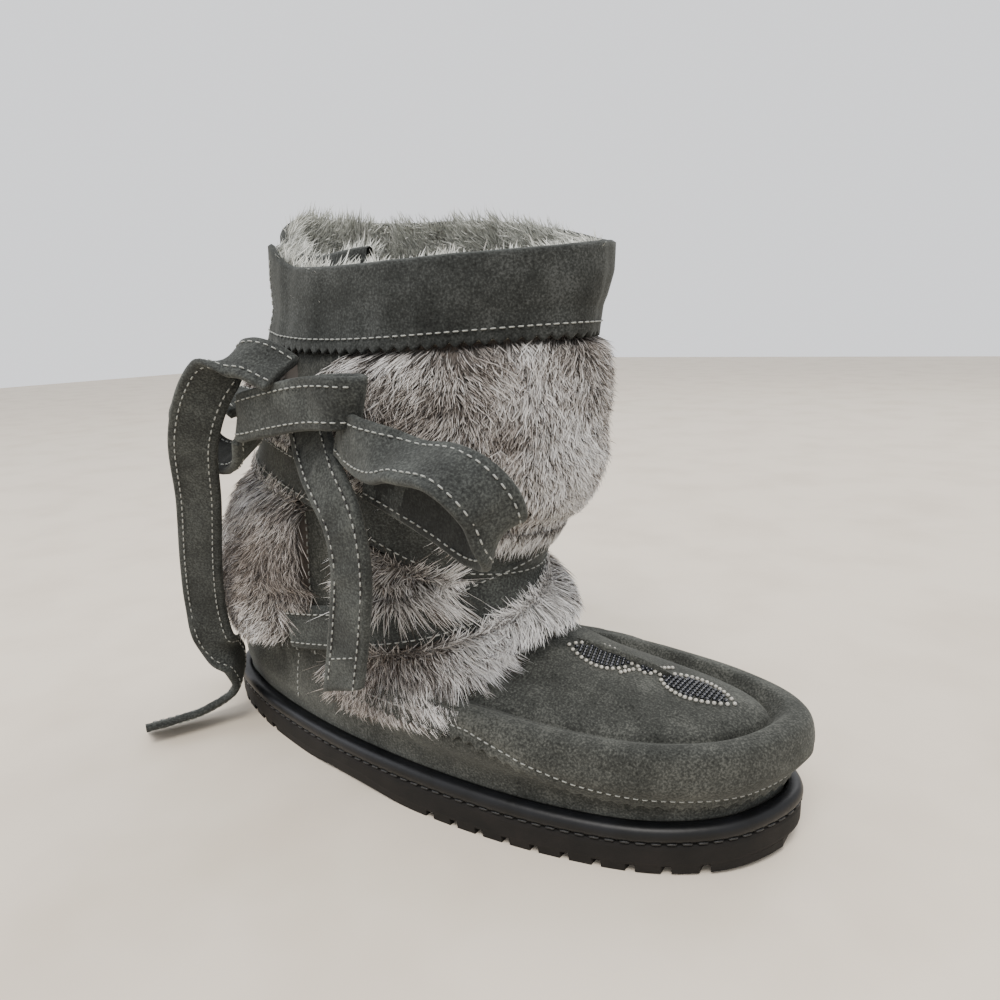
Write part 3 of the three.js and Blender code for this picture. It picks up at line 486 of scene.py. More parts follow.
def glass_bead(name, code, rough):
    """Small glass seed beads: a smooth body with a bright highlight."""
    material, shader = new_material(name)
    where = add(material, "ShaderNodeTexCoord").outputs["Object"]
    cloud = add(material, "ShaderNodeTexNoise", {"Vector": where}, in_Scale=900.0)
    colour = ramp(material, cloud.outputs[0], [(0.3, code[0]), (0.7, code[1])])
    material.node_tree.links.new(colour, shader.inputs["Base Color"])
    shader.inputs["Roughness"].default_value = rough
    shader.inputs["Coat Weight"].default_value = 0.6
    shader.inputs["Coat Roughness"].default_value = 0.08
    return material


# Glass seed beads: tiny sharp highlights on a pale or black body.
BEAD_PALE = glass_bead("bead_pearl", ("#8e8b82", "#b4b1a8"), 0.22)
BEAD_DARK = glass_bead("bead_black", ("#08090c", "#161a26"), 0.12)

# ---- camera, light and floor ----
camera = bpy.data.objects.new("camera", bpy.data.cameras.new("camera"))
bpy.context.scene.collection.objects.link(camera)
pitch, roll, heading = math.radians(13.3), math.radians(-2.0), math.radians(36)
ahead = Vector((-math.sin(heading), math.cos(heading), 0))
right_flat = Vector((math.cos(heading), math.sin(heading), 0))
forward = ahead * math.cos(pitch) - Vector((0, 0, 1)) * math.sin(pitch)
upright = right_flat.cross(forward)
right = right_flat * math.cos(roll) + upright * math.sin(roll)
top = upright * math.cos(roll) - right_flat * math.sin(roll)
camera.matrix_world = Matrix((right, top, -forward)).transposed().to_4x4()
camera.location = (0.1909, -0.2285, 0.177)
camera.data.lens, camera.data.sensor_width = 27.04, 36.0
camera.data.clip_start, camera.data.clip_end = 0.01, 20.0
bpy.context.scene.camera = camera


def area_light(name, place, target, size, power, colour="#ffffff"):
    data = bpy.data.lights.new(name, "AREA")
    data.shape, data.size, data.energy, data.color = "DISK", size, power, srgb(colour)[:3]
    lamp = bpy.data.objects.new(name, data)
    lamp.location = place
    lamp.rotation_mode = "QUATERNION"
    lamp.rotation_quaternion = (Vector(target) - Vector(place)).to_track_quat("-Z", "Y")
    bpy.context.scene.collection.objects.link(lamp)


area_light("key", (0.35, -0.8, 1.5), (0, 0, 0.08), 0.7, 26.0, "#fffaf4")
area_light("side", (-1.2, -0.7, 0.8), (0, 0, 0.1), 1.0, 7.0, "#f2f6ff")
area_light("back", (0.3, 1.2, 1.2), (0, 0, 0.1), 1.0, 9.0)
world = bpy.data.worlds.new("studio")
world.use_nodes = True
world.node_tree.nodes["Background"].inputs[0].default_value = srgb("#e6e7ea")
world.node_tree.nodes["Background"].inputs[1].default_value = 1.6
bpy.context.scene.world = world

floor_mesh = bpy.data.meshes.new("floor")
floor_mesh.from_pydata([(-3, -3, 0), (3, -3, 0), (3, 3, 0), (-3, 3, 0)], [], [(0, 1, 2, 3)])
floor = bpy.data.objects.new("floor", floor_mesh)
floor_mesh.materials.append(plain("floor_pale", "#d8cdbc", 0.7, 14.0, "#cfc3b1"))
bpy.context.scene.collection.objects.link(floor)

# ---- the bow, its knot and ends ----
# Each row is a point of the tie's middle line and the direction of its width there.
ROUTES = {
    "tie_tail_rear": [
        (-12, -68, 163, 0.3, 0.9, 0.3), (-22, -71, 168, 0.4, 0.8, 0.4), (-31, -73, 168, 0.6, 0.6, 0.5),
        (-42, -76, 159, 0.78, 0.42, 0.4), (-57, -74.5, 140, 0.85, 0.4, 0.25),
                      (-71, -67, 113, 0.9, 0.4, 0.15),
        (-84, -61.5, 84, 0.9, 0.4, 0.1), (-92, -57, 62, 0.85, 0.5, -0.05),
                      (-93.5, -54, 46, 0.65, 0.65, -0.3),
        (-94, -45, 33, -0.4, 0.85, -0.35), (-98, -41.5, 22, -0.72, 0.55, -0.43),
                      (-102, -44, 13, -0.77, 0.45, -0.46),
        (-108, -55, 7.4, -0.77, 0.45, -0.44), (-114, -67, 6.2, -0.78, 0.45, -0.42),
                      (-119, -77, 6, -0.78, 0.45, -0.42)],
    "tie_tail_front": [
        (-18, -56.5, 152, 0.97, 0.1, 0.2), (-14, -57.5, 143, 0.95, 0.1, 0.3),
                       (-7, -61.5, 136, 0.9, 0.1, 0.4),
        (2, -66.5, 129, 0.85, 0.1, 0.5), (12, -69, 116, 0.95, 0.05, 0.2), (14, -69, 100, 1, 0, 0),
        (10, -68, 80, 1, 0, -0.1), (3, -67, 54, 1, 0, -0.15)],
    "tie_loop_front": [
        (9, -64.5, 145, 0.3, -0.1, 0.95), (20, -69, 142, 0.3, 0, 0.95), (34, -73.5, 140.5, 0.2, 0.4, 0.9),
        (49, -76, 140, 0, 0.88, 0.47), (64, -79, 140, 0.05, 0.86, 0.5), (73, -79, 136, 0.25, 0.7, 0.65),
        (77.5, -76, 129, 0.5, 0.45, 0.7), (75, -71, 120.5, 0.55, 0.2, 0.8), (62.5, -66, 117.5, 0.45, 0, 0.9),
        (47.5, -63, 121.5, 0.3, 0, 0.95), (31.5, -61, 126, 0.3, 0, 0.95), (16, -60, 130.5, 0.3, 0, 0.95)],
    "tie_loop_rear": [
        (-39, -63, 143, 0, 0.8, 0.5), (-48, -58.5, 134, 0, 0.75, 0.55), (-60, -55.5, 130, 0, 0.75, 0.55),
        (-73, -56, 131, 0, 0.9, 0.3), (-83, -55.5, 136, 0, 1, 0.1), (-87, -56, 145, 0, 1, 0),
                      (-80, -56, 153, 0, 1, 0),
        (-67, -56.5, 155, 0, 1, 0), (-54, -58, 154, 0, 1, 0.1), (-41, -60, 151, 0, 0.9, 0.4)]}


def strap_section(width, thick):
    """Half-round edges and flat faces: (across, out) pairs."""
    edge = [(math.cos(a), math.sin(a)) for a in np.linspace(-np.pi / 2, np.pi / 2, 5)]
    half, r = width / 2 - thick * 0.35, thick * 0.35
    right_side = [(half + r * c, thick / 2 * s) for c, s in edge]
    left_side = [(-half - r * c, -thick / 2 * s) for c, s in edge]
    inner = np.linspace(0.75, -0.75, 5) * half
    return np.array(right_side + [(x, thick / 2) for x in inner] + left_side
                    + [(x, -thick / 2) for x in inner[::-1]])


def ribbon(rows, steps, width=TIE_WIDTH, thick=TIE_THICK, closed=False, cut=0.0):
    """A flat strap along rows of points and width directions; returns rings, centre, side and face."""
    rows = np.asarray(rows, float)
    t = np.linspace(0, 1, steps + 1)[: steps if closed else None]
    centre = curve(rows[:, :3], t, closed)
    near = curve(rows[:, :3], np.clip(t + 1e-3, 0, 1), closed) - curve(rows[:, :3], np.clip(t - 1e-3, 0, 1),
        closed)
    along = unit(near)
    side = curve(rows[:, 3:], t, closed)
    side = unit(side - along * (side * along).sum(1)[:, None])
    face = np.cross(along, side)
    section = strap_section(width, thick)
    wobble = 0.35 * noise(t[:, None] * 40, section[None, :, 0], 3, scale=0.7)
    rings = (centre[:, None] + side[:, None] * section[None, :, 0:1]
             + face[:, None] * (section[None, :, 1] + wobble
                                * (np.abs(section[None, :, 0]) < width * 0.45))[..., None])
    ending = np.clip((np.arange(len(t)) - len(t) + 12) / 12, 0, 1) ** 2
    rings = rings - cut * ending[:, None, None] * section[None, :, 0:1] * along[:, None]
    return rings, centre, side, face


def strap_stitches(centre, side, face, width=TIE_WIDTH, thick=TIE_THICK, both=True):
    parts = []
    for edge in (-1, 1):
        for out in ((-1, 1) if both else (1,)):
            line = centre + side * edge * (width / 2 - 3.0) + face * out * thick / 2
            parts.append(stitch_points(line, face * out))
    return parts


stitches = []
dark_stitches = []
ties = {}
for name, rows in ROUTES.items():
    rings, centre, side, face = ribbon(rows, len(rows) * 12, cut=0.75 if name == "tie_tail_front" else 0.0)
    count, ring = rings.shape[:2]
    ties[name] = make(name + "_strap", rings, tube_faces(count, ring), SUEDE_TIE, name)
    if name.startswith("tie_loop"):
        # painted shade: faces turned into the loop get the darker suede, for the shade the top band casts
        # inside it
        ties[name].data.materials.append(SUEDE_PAINTED_SHADE)
        heart = centre[count // 4:].mean(0)
        for polygon in ties[name].data.polygons:
            middle = np.array(polygon.center) / MM
            ring_at = centre[np.argmin(np.linalg.norm(centre - middle, axis=1))]
            if np.dot(np.array(polygon.normal), unit(heart - ring_at)) > 0.25:
                polygon.material_index = 1
    stitches += strap_stitches(centre, side, face)
    if name.startswith("tie_tail"):
        across = np.linspace(-TIE_WIDTH / 2 + 3, TIE_WIDTH / 2 - 3, 12)[:, None]
        for out in (-1, 1):
            slant = (0.6 if name == "tie_tail_front" else 0.0) * np.cross(side[-8], face[-8])
            line = centre[-8] + (side[-8] - slant) * across + face[-8] * out * (TIE_THICK / 2 + 0.1)
            stitches.append(stitch_points(line, np.repeat(face[-8:-7] * out, 12, axis=0)))
    if name == "tie_tail_front":
        for edge in (-1, 1):
            line = centre + side * edge * (TIE_WIDTH / 2
                                           - 3.0) + face * np.sign(-face[len(face) // 2, 1]) * TIE_THICK / 2
            dark_stitches.append(stitch_points(line, -face * np.sign(face[len(face) // 2, 1]), phase=1.0,
                                               length=1.5))
    length = float(np.linalg.norm(np.diff(centre, axis=0), axis=1).sum()) * MM
    ties[name + "_facts"] = (centre * MM, length)

KNOT = [(-36, -68.5, 147.5, 0.2, 0, 1), (-18, -70.5, 151, 0.15, 0, 1), (2, -71.5, 154, 0.08, 0, 1),
        (16, -71, 154.5, 0.3, 0, 0.95), (20.5, -66, 154.5, 0.3, 0, 0.95), (15, -61.5, 154.5, 0.2, 0, 1),
        (0, -62, 154, 0.08, 0, 1),
        (-18, -62.5, 151, 0.15, 0, 1), (-34, -62, 148, 0.2, 0, 1), (-39, -65, 147, 0.2, 0, 1)]
rings, centre, side, face = ribbon(KNOT, 120, 17, 2.8, True)
knot = make("knot_band", rings, tube_faces(len(rings), rings.shape[1], True), SUEDE_TIE, "tie_knot")
outward = np.where((face[:, 1:2] * (centre[:, 1:2] + 65.5)) > 0, face, -face)
front_part = centre[:, 1] < -66.5
order = np.argsort(centre[front_part][:, 0])
for edge in (-1, 1):
    line = (centre + side * edge * 5.6 + outward * 1.45)[front_part][order]
    stitches.append(stitch_points(line, outward[front_part][order]))

FAR = {"tie_tail_rear": "bare", "tie_tail_front": "bare", "tie_loop_front": "object",
       "tie_loop_rear": "object"}
for name, far_end in FAR.items():
    centre, length = ties[name + "_facts"]

# ---- sole ----
F_SOLE = np.arange(320) / 320
side_profile = [(1.2, lambda x: underside(x) + 2.9), (0.25, lambda x: underside(x) + 3.0),
                (0.0, lambda x: underside(x) + 4.2),
                (0.0, lambda x: sole_top(x) - 2.2), (0.25, lambda x: sole_top(x) - 1.0),
                (1.3, lambda x: sole_top(x) - 0.2),
                (2.2, sole_top)]
rings = np.array([sole_ring(F_SOLE, inset, height) for inset, height in side_profile])
sole_parts = [(rings, tube_faces(len(side_profile), len(F_SOLE)))]


def edge_y(x, side):
    """y of the sole outline on one side."""
    half = DENSE[:2001] if side < 0 else DENSE[2000:][::-1]
    order = np.argsort(half[:, 0])
    return np.interp(x, half[order, 0], half[order, 1])


def tread_bar(x0, x1, trim_low, trim_high):
    """A raised bar of tread between two stations, as wide as the sole."""
    xs = np.linspace(x0, x1, max(2, int((x1 - x0) / 2) + 1))
    low = [(x, edge_y(x, -1) + trim_low) for x in xs]
    high = [(x, edge_y(x, 1) - trim_high) for x in xs[::-1]]
    loop = np.array(low + high)
    base = np.column_stack([loop, underside(loop[:, 0]) + 3.1])
    inset = loop + (loop.mean(0) - loop) * 0.012
    bottom = np.column_stack([inset, underside(inset[:, 0])])
    n = len(loop)
    faces = [[i, (i + 1) % n, n + (i + 1) % n, n + i] for i in range(n)] + [list(range(n)),
        list(range(n, 2 * n))]
    return np.vstack([base, bottom]), faces


PITCH, GROOVE = 10.5, 3.0
cuts = [-120 + PITCH * n for n in range(5)] + [24 + PITCH * n for n in range(10)]
edges = [HEEL_X + 2.5] + [v for c in cuts for v in (c - GROOVE / 2, c + GROOVE / 2)] + [TOE_X - 2.2]
for low, high in zip(edges[::2], edges[1::2]):
    sole_parts.append(tread_bar(low, high, 0.3, 0.3))
points, faces = joined(sole_parts)
make("sole_rubber_body", points, faces, RUBBER_SOLE, "outsole", smooth=False)

welt_profile = [(0.8, GAP), (-0.1, 0.7), (-0.45, 1.7), (-0.45, 2.7), (-0.1, 3.9), (0.7, 4.9),
                (1.8, WELT_HEIGHT),
                (3.2, WELT_HEIGHT + 0.1), (FEATHER - GAP, WELT_HEIGHT), (FEATHER - GAP, GAP)]
rings = np.array([sole_ring(F_SOLE, inset, lambda x, rise=rise: sole_top(x) + rise) for inset,
                  rise in welt_profile])
make("welt_band", rings, grid_faces(len(welt_profile), len(F_SOLE), True, True), RUBBER_WELT, "welt")

line = sole_ring(F_SOLE, 0.35, lambda x: sole_top(x) + 0.1)
flat_normal = np.column_stack([-inward(F_SOLE), np.zeros(len(F_SOLE))])
points, faces = joined(dark_stitches + [stitch_points(line, flat_normal, pitch=5.0, length=3.6, radius=0.4)])
make("dark_stitching", points, faces, DARK_THREAD)

inset = FEATHER + WALL + GAP + 1.5
rings = np.array([sole_ring(F_SOLE, inset + a, lambda x, b=b: sole_top(x) + b) for a, b in
                  ((0, 0.3), (0, 2.8), (1.2, 3.7), (8, 3.9))])
make("insole_sheet", rings, tube_faces(4, len(F_SOLE)), FELT, "insole")

# ---- upper ----
grid = SURFACE.copy()
level = LEVEL_AT[:, None]
place = (F_AT * TURN)[None, :]
shift = np.zeros(grid.shape[:2])
# the apron seam: a sharp groove round the toe, softening on the outer side
deep = smoothstep(18, 22, place) * (1 - smoothstep(27, 31, place)) * 0.85 + 0.25
deep = deep * smoothstep(11, 15, place) * (1 - smoothstep(29, 33, place))
shift -= deep * 2.1 * np.exp(-((level - 7.3) / 0.15) ** 2)
shift -= deep * 0.8 * np.exp(-((level - 7.4) / 0.45) ** 2)
shift += deep * 0.7 * np.exp(-((level - 6.3) / 0.6) ** 2)


def fold(a, b, depth, width):
    """A soft trough or ridge along the straight line from a to b, in millimetres."""
    a, b = np.array(a, float), np.array(b, float)
    t = np.clip(((SURFACE - a) @ (b - a)) / ((b - a) @ (b - a)), 0, 1)
    away = np.linalg.norm(SURFACE - (a + t[..., None] * (b - a)), axis=-1)
    taper = np.sin(np.pi * np.clip(t * 0.9 + 0.1, 0, 1)) ** 0.5
    return depth * taper * np.exp(-(away / width) ** 2)


for a, b, depth, width in [
        ((14, -49, 44), (62, -46, 36), -1.1, 4.0), ((20, -48, 50), (66, -42, 44), 1.0, 4.5),
        ((28, -46, 55), (70, -36, 47), -1.2, 4.0), ((40, -38, 58), (84, -28, 46), 0.8, 5.0),
        ((46, -28, 60), (92, -16, 47), -0.7, 5.0),
        ((40, 34, 56), (74, 40, 44), -1.0, 4.5), ((60, -44, 34), (112, -28, 34), -0.5, 5.0),
        ((-20, -46, 30), (20, -48, 26), -0.6, 6.0), ((-100, -30, 30), (-60, -42, 26), 0.6, 6.0)]:
    shift += fold(a, b, depth * 1.5, width)
shift += 0.28 * noise(SURFACE[..., 0] / 14, SURFACE[..., 2] / 12, 11) * smoothstep(0.5, 3, level)
outer = grid + SURFACE_NORMAL * shift[..., None]
inner_rows = np.arange(0, len(LEVEL_AT), 5)[::-1]
inner = (SURFACE - SURFACE_NORMAL * WALL)[inner_rows]
inner[-1, :, 2] = outer[0, :, 2]
inner[0, :, 2] = outer[-1, :, 2]
rows = np.concatenate([outer, inner])
make("upper_suede", rows, grid_faces(len(rows), COLUMNS, True, True), SUEDE, "upper")


push_tree = BVHTree.FromPolygons(outer.reshape(-1, 3).tolist(),
                                 grid_faces(len(outer), COLUMNS, False, True).tolist())


def on_suede(points, lift):
    """Points moved to lie at a lift over the nearest spot of the creased suede."""
    found = [push_tree.find_nearest(p.tolist()) for p in points]
    return np.array([np.array(at) + np.array(normal) * lift for at, normal, _, _ in found])


def seam_level(place, heights):
    """The level at which each place's surface reaches the seam height, below the roll."""
    found = []
    for p in place:
        column, _ = surface(np.full(60, p), np.linspace(0.2, 4.6, 60))
        want = np.interp(column[:, 0], heights[:, 0], heights[:, 1])
        found.append(np.interp(0, column[:, 2] - want, np.linspace(0.2, 4.6, 60)))
    return np.array(found)


def pinked(distance, pitch=5.0, deep=1.7):
    """Saw-tooth depth along an edge cut with pinking shears."""
    return deep * np.abs((distance / pitch) % 1.0 * 2 - 1)


seam_places = np.linspace(9.5, 34.5, 900)
seam = seam_level(seam_places, VAMP_SEAM)
line, line_normal = surface(seam_places, seam)
gone = np.concatenate([[0], np.cumsum(np.linalg.norm(np.diff(line, axis=0), axis=1))])
tooth = pinked(gone, 5.0, 2.6)
per_level = 6.4
strip = []
for drop, out in ((5.0, -0.5), (5.0, 1.8), (4.2, 2.1), (2.0, 1.9), (0.5, 1.6), (0, 1.2), (-0.5, 1.6),
                  (-3, 1.4), (-6, 0.8), (-9, -0.1)):
    edge = drop - (tooth if drop > 4.5 else tooth * 0.6 if drop > 3.5 else 0)
    start = surface(seam_places, np.clip(seam - edge / per_level, 0, 20))[0]
    strip.append(on_suede(start, out))
vamp_edge = make("vamp_edge", np.array(strip), grid_faces(len(strip), len(seam_places)), SUEDE,
                 tidy=False)
# painted shadow: the downward wall of the pinked edge takes the darker suede
vamp_edge.data.materials.append(SUEDE_PAINTED_SHADE)
for polygon in vamp_edge.data.polygons[: len(seam_places) - 1]:
    polygon.material_index = 1  # painted shadow along the pinked edge's wall
stitches.append(stitch_points(on_suede(line, 1.3), line_normal, pitch=2.9, length=1.9, radius=0.26))

heel_levels = np.linspace(1.6, 7.5, 60)
for p in (6.6, 37.4):
    line, line_normal = surface(np.full(60, p) + 0.35 * np.sin(heel_levels / 3), heel_levels)
    stitches.append(stitch_points(line + line_normal * 0.1, line_normal, pitch=3.2, length=2.0, radius=0.28))

# How far the suede stands out from the shaft oval at each place and height.
STAND_PLACES, STAND_HEIGHTS = np.arange(0, 176) / 4, np.arange(18.0, 92.0)
stand_grid = np.full((len(STAND_HEIGHTS), len(STAND_PLACES)), -5.0)
for row, height in enumerate(STAND_HEIGHTS):
    far_side = shaft_point(STAND_PLACES, np.full(176, height), np.full(176, 26.0))
    near_side = shaft_point(STAND_PLACES, np.full(176, height), np.zeros(176))
    for column in range(176):
        ray = (near_side - far_side)[column]
        hit = push_tree.ray_cast(Vector(far_side[column]), Vector(ray))
        if hit[0] is not None and hit[3] < 40 and hit[1].dot(Vector(ray)) < 0:
            stand_grid[row, column] = 26 - hit[3]


def suede_stand(place, z):
    """The suede's distance outside the shaft oval, read from the grid."""
    row = np.clip(z - STAND_HEIGHTS[0], 0, len(STAND_HEIGHTS) - 1.001)
    column = place % TURN * 4
    r, c = np.floor(row).astype(int), np.floor(column).astype(int) % 176
    a, b, c2 = row - r, column - np.floor(column), (c + 1) % 176
    low, high = (stand_grid[k, c] * (1 - b) + stand_grid[k, c2] * b for k in (r, r + 1))
    return low * (1 - a) + high * a


# ---- placket ----


def slot_edges(z):
    rear = np.interp(z, [47, 120, 182], [-36, -37, -38])
    return rear, np.interp(z, [52, 120, 182], [-12, -9, -7])


def slot_depth(points):
    """How far inside the outer side's slot a point is, along the boot; negative outside it."""
    rear, fore = slot_edges(points[..., 2])
    depth = np.minimum(points[..., 0] - rear, fore - points[..., 0])
    depth = np.minimum(depth, points[..., 2] - 49)
    return np.where(points[..., 1] < 0, depth, -99)


# each column of the placket keeps between the slot's edges at every height
heights = np.linspace(49, 177, 64)
sheet_rows = []
for z in heights:
    rear, fore = slot_edges(z)
    places = np.linspace(4, 18, 400)
    xs = shaft_point(places, np.full(400, z), np.full(400, 3.3))[:, 0]
    wanted = np.linspace(rear - 2.6, fore + 2.0, 21)
    at = np.interp(wanted, xs, places)
    sheet_rows.append(at)
sheet_rows = np.array(sheet_rows)
z_grid = np.repeat(heights[:, None], 21, axis=1)
buckle = 0.35 * noise(sheet_rows * 1.2, z_grid / 16, 21) - 2.2 * smoothstep(167, 171, z_grid)
plate = shaft_point(sheet_rows, z_grid, np.maximum(3.3 + buckle, suede_stand(sheet_rows, z_grid) + 2.9
                                                   * (z_grid < 90)))
make("placket_strip", plate, grid_faces(64, 21), SUEDE, "placket")
for column in (2, 18):
    line = plate[:, column]
    line_normal = unit(shaft_point(sheet_rows[:, column], heights, 20.0 + 0 * heights) - line)
    stitches.append(stitch_points(line + line_normal * 0.1, line_normal, pitch=3.0, length=2.0, radius=0.3))

# ---- collar ----
STEPS = 420
at_place = np.linspace(COLLAR_START, COLLAR_END, STEPS)
tucked = smoothstep(1, COLLAR_START, at_place)
lapped = smoothstep(-31, COLLAR_END, at_place) * 2.4
rim = smooth_table(COLLAR_RIM, 1, at_place % TURN)
rim = rim + (204 - rim) * tucked
flare = smooth_table(COLLAR_RIM, 2, at_place % TURN)
hem = around(*COLLAR_HEM, at_place)
hem = hem + (188 - hem) * smoothstep(0.5, 3.5, at_place)
out = GAP + (-15 - GAP) * tucked + lapped
shares = np.linspace(0, 1, 22)


def collar_point(column, share, lift):
    """Points of the collar's outside, at a share of its height and a lift off it."""
    swell = np.interp(share, [0, 0.35, 0.7, 1], [1.5, 1.2, 1.0, 0.0]) + np.interp(share, [0, 0.35, 0.7, 1],
        [0, 0, 0.7, 1]) * flare[column]
    z = hem[column] + (rim[column] - hem[column]) * share
    fold_line = 0.55 * noise(at_place[column] * 0.9, share * 2.2, 31) + 0.25 * noise(at_place[column] * 3.2,
        share * 1.1, 32)
    return shaft_point(at_place[column], z, out[column] + swell + 3.0 + lift + fold_line)


step_index = np.arange(STEPS)
walk = shaft_point(at_place, np.full(STEPS, 185.0), out + 3)
walked = np.concatenate([[0], np.cumsum(np.linalg.norm(np.diff(walk, axis=0), axis=1))])
COLLAR_COLUMNS = 1100  # enough for the teeth of the pinked hem
STITCHED_COLUMN = 1082  # the row of stitches down the lapped end
fine = np.linspace(0, STEPS - 1, COLLAR_COLUMNS)
fine_place = np.interp(fine, step_index, at_place)
rim, flare, hem, out = (np.interp(fine, step_index, values) for values in (rim, flare, hem, out))
fine_walk = np.interp(fine, step_index, walked)
at_place = fine_place
cols = np.arange(COLLAR_COLUMNS)
tooth = pinked(fine_walk, 4.6, 2.0) * (1 - smoothstep(1, 3, at_place))
shown_hem = hem + tooth
rows = []
for share in shares:
    z = shown_hem + (rim - shown_hem) * share
    true_share = np.clip((z - hem) / (rim - hem), 0, 1)
    rows.append(collar_point(cols, true_share, 0.0))
inside_rows = [collar_point(cols, s, -2.8) for s in (1, 0.7, 0.4, 0.15)]
inside_rows.append(collar_point(cols, np.clip(tooth / (rim - hem), 0, 1), -2.4))
round_rim = collar_point(cols, 1, -1.4)
round_rim[:, 2] += 0.9
collar_grid = np.array(rows + [round_rim] + inside_rows)
faces = grid_faces(len(collar_grid), COLLAR_COLUMNS, True, False).tolist()
make("collar_band", collar_grid, faces, SUEDE_COLLAR, "collar")
line = collar_point(cols, np.clip(5.2 / (rim - hem), 0, 1), 0.1)
line_normal = unit(shaft_point(at_place, line[:, 2], out + 40) - line)
seen = at_place < 1.5
stitches.append(stitch_points(line[seen], line_normal[seen], pitch=3.0, length=2.0, radius=0.28))
edge_share = np.linspace(0.16, 0.97, 60)
edge_col = np.full(60, STITCHED_COLUMN)
line = collar_point(edge_col, edge_share, 0.1)
line_normal = unit(shaft_point(at_place[edge_col], line[:, 2], out[edge_col] + 40) - line)
stitches.append(stitch_points(line, line_normal, pitch=3.0, length=2.0, radius=0.28))

# ---- straps round the shaft ----


def shaft_band(places, line_of, closed):
    section = strap_section(TIE_WIDTH, TIE_THICK)
    middle = FUR_PRESSED + GAP + TIE_THICK / 2
    centre_z = line_of(places)
    rings = []
    for p, z in zip(places, centre_z):
        n = len(section)
        wave = 0.4 * noise(p * 1.3 + 0 * section[:, 0], section[:, 0] / 9, 41)
        rings.append(shaft_point(np.full(n, p), z + section[:, 0], middle + section[:, 1] + wave))
    rings = np.array(rings)
    parts = []
    for edge in (-1, 1):
        line_z = centre_z + edge * (TIE_WIDTH / 2 - 3)
        line = shaft_point(places, line_z, np.full(len(places), middle + TIE_THICK / 2 + 0.3))
        normal = unit(shaft_point(places, line_z, np.full(len(places), 40.0)) - line)
        parts.append(stitch_points(line, normal))
    return (rings.reshape(-1, 3), tube_faces(len(places), len(section), closed)), parts


upper_turn, more = shaft_band(np.linspace(0, TURN, 260, endpoint=False), wrap_z, True)
stitches += more
lower_turn, more = shaft_band(np.linspace(10.6, 25, 100), lower_wrap_z, False)
stitches += more
points, faces = joined([upper_turn, lower_turn])
make("wrap_band", points, faces, SUEDE_TIE, "wrap_straps")

points, faces = joined(stitches)
make("thread_stitching", points, faces, THREAD, tidy=False)

# ---- fur ----
WHITE, GREY, BROWN, DARK = (np.array(srgb(c)[:3]) for c in ("#f4f1ed", "#a39d97", "#6d5d50", "#2a2521"))
# Patches of coat colour: place, height, spread in place, spread in height, whiteness, brownness.
PATCHES = np.array([
    (3, 150, 3.5, 16, 0.1, 0.9), (7.5, 172, 2.5, 12, -0.3, 0.8), (13.6, 145, 2.2, 15, -0.45, 0.65),
                    (15.4, 130, 1.3, 14, 0.8, -0.4),
    (16.6, 158, 1.6, 14, 0.45, 0.1), (17.6, 140, 0.9, 12, -0.3, 0.4), (20.4, 138, 2, 18, 0.45, -0.2),
                    (18.8, 110, 1.6, 10, -0.1, 0.5),
    (9.5, 86, 2.6, 20, -0.45, 0.7), (5, 60, 3, 18, -0.2, 0.9), (8, 108, 2.5, 10, 0.2, 0.2),
                    (16.4, 80, 2, 9, 0.7, -0.3),
    (12.8, 42, 1.6, 12, 0.0, 0.5), (15.5, 58, 1.4, 9, -0.2, 0.5), (18, 60, 1.5, 9, 0.5, -0.1),
                    (21.2, 72, 2.5, 12, 0.8, -0.4),
    (22, 115, 3, 30, 0.4, 0.0), (27, 140, 4, 25, 0.1, 0.4), (34, 120, 5, 30, 0.2, 0.3),
                    (40, 80, 4, 25, 0.0, 0.6),
    (30, 70, 4, 20, 0.3, 0.2)], float)


def coat(place, z):
    """Whiteness and brownness of the coat at a place."""
    white, brown = 0.32 * noise(place * 0.9, z / 22, 51), 0.3 * noise(place * 0.7, z / 25, 52)
    for p, h, dp, dz, w, b in PATCHES:
        away = (place - p + TURN / 2) % TURN - TURN / 2
        share = np.exp(-(away / dp) ** 2 - ((z - h) / dz) ** 2)
        white, brown = white + w * share, brown + b * share
    return white, brown


HEM_TIPS = np.array([  # place, z that the hair tips of the lower cuff reach
    (0, 40), (6, 42), (9, 48), (10.7, 52), (11.8, 47), (12.6, 30), (13.8, 31.5), (14.7, 34.5), (16.1, 41),
                     (17.6, 50),
    (19.8, 60), (21, 63), (22, 64.5), (23.6, 64), (26, 59), (29, 50), (32, 43), (36, 40), (40, 39),
                     (44, 40)], float)


def hem_z(place):
    """Height of the roots along the fur's hem."""
    return np.interp(place % TURN, HEM_TIPS[:, 0], HEM_TIPS[:, 1]) + 6.0


def loft(place, z):
    """Fur depth as seen: it swells out from under the collar."""
    below = around(*COLLAR_HEM, place) - z
    place = place % TURN
    rear = 1 - smoothstep(6, 10, place) * (1 - smoothstep(34, 38, place))
    fore = smoothstep(16, 19, place) * (1 - smoothstep(26, 30, place)) * smoothstep(118, 140, z)
    return np.minimum(fur_depth(place, np.clip(z, 24, 176)) - 3.0 * fore, 3.0 + np.maximum(below, -1)
                      * (1.5 + 2.5 * rear))


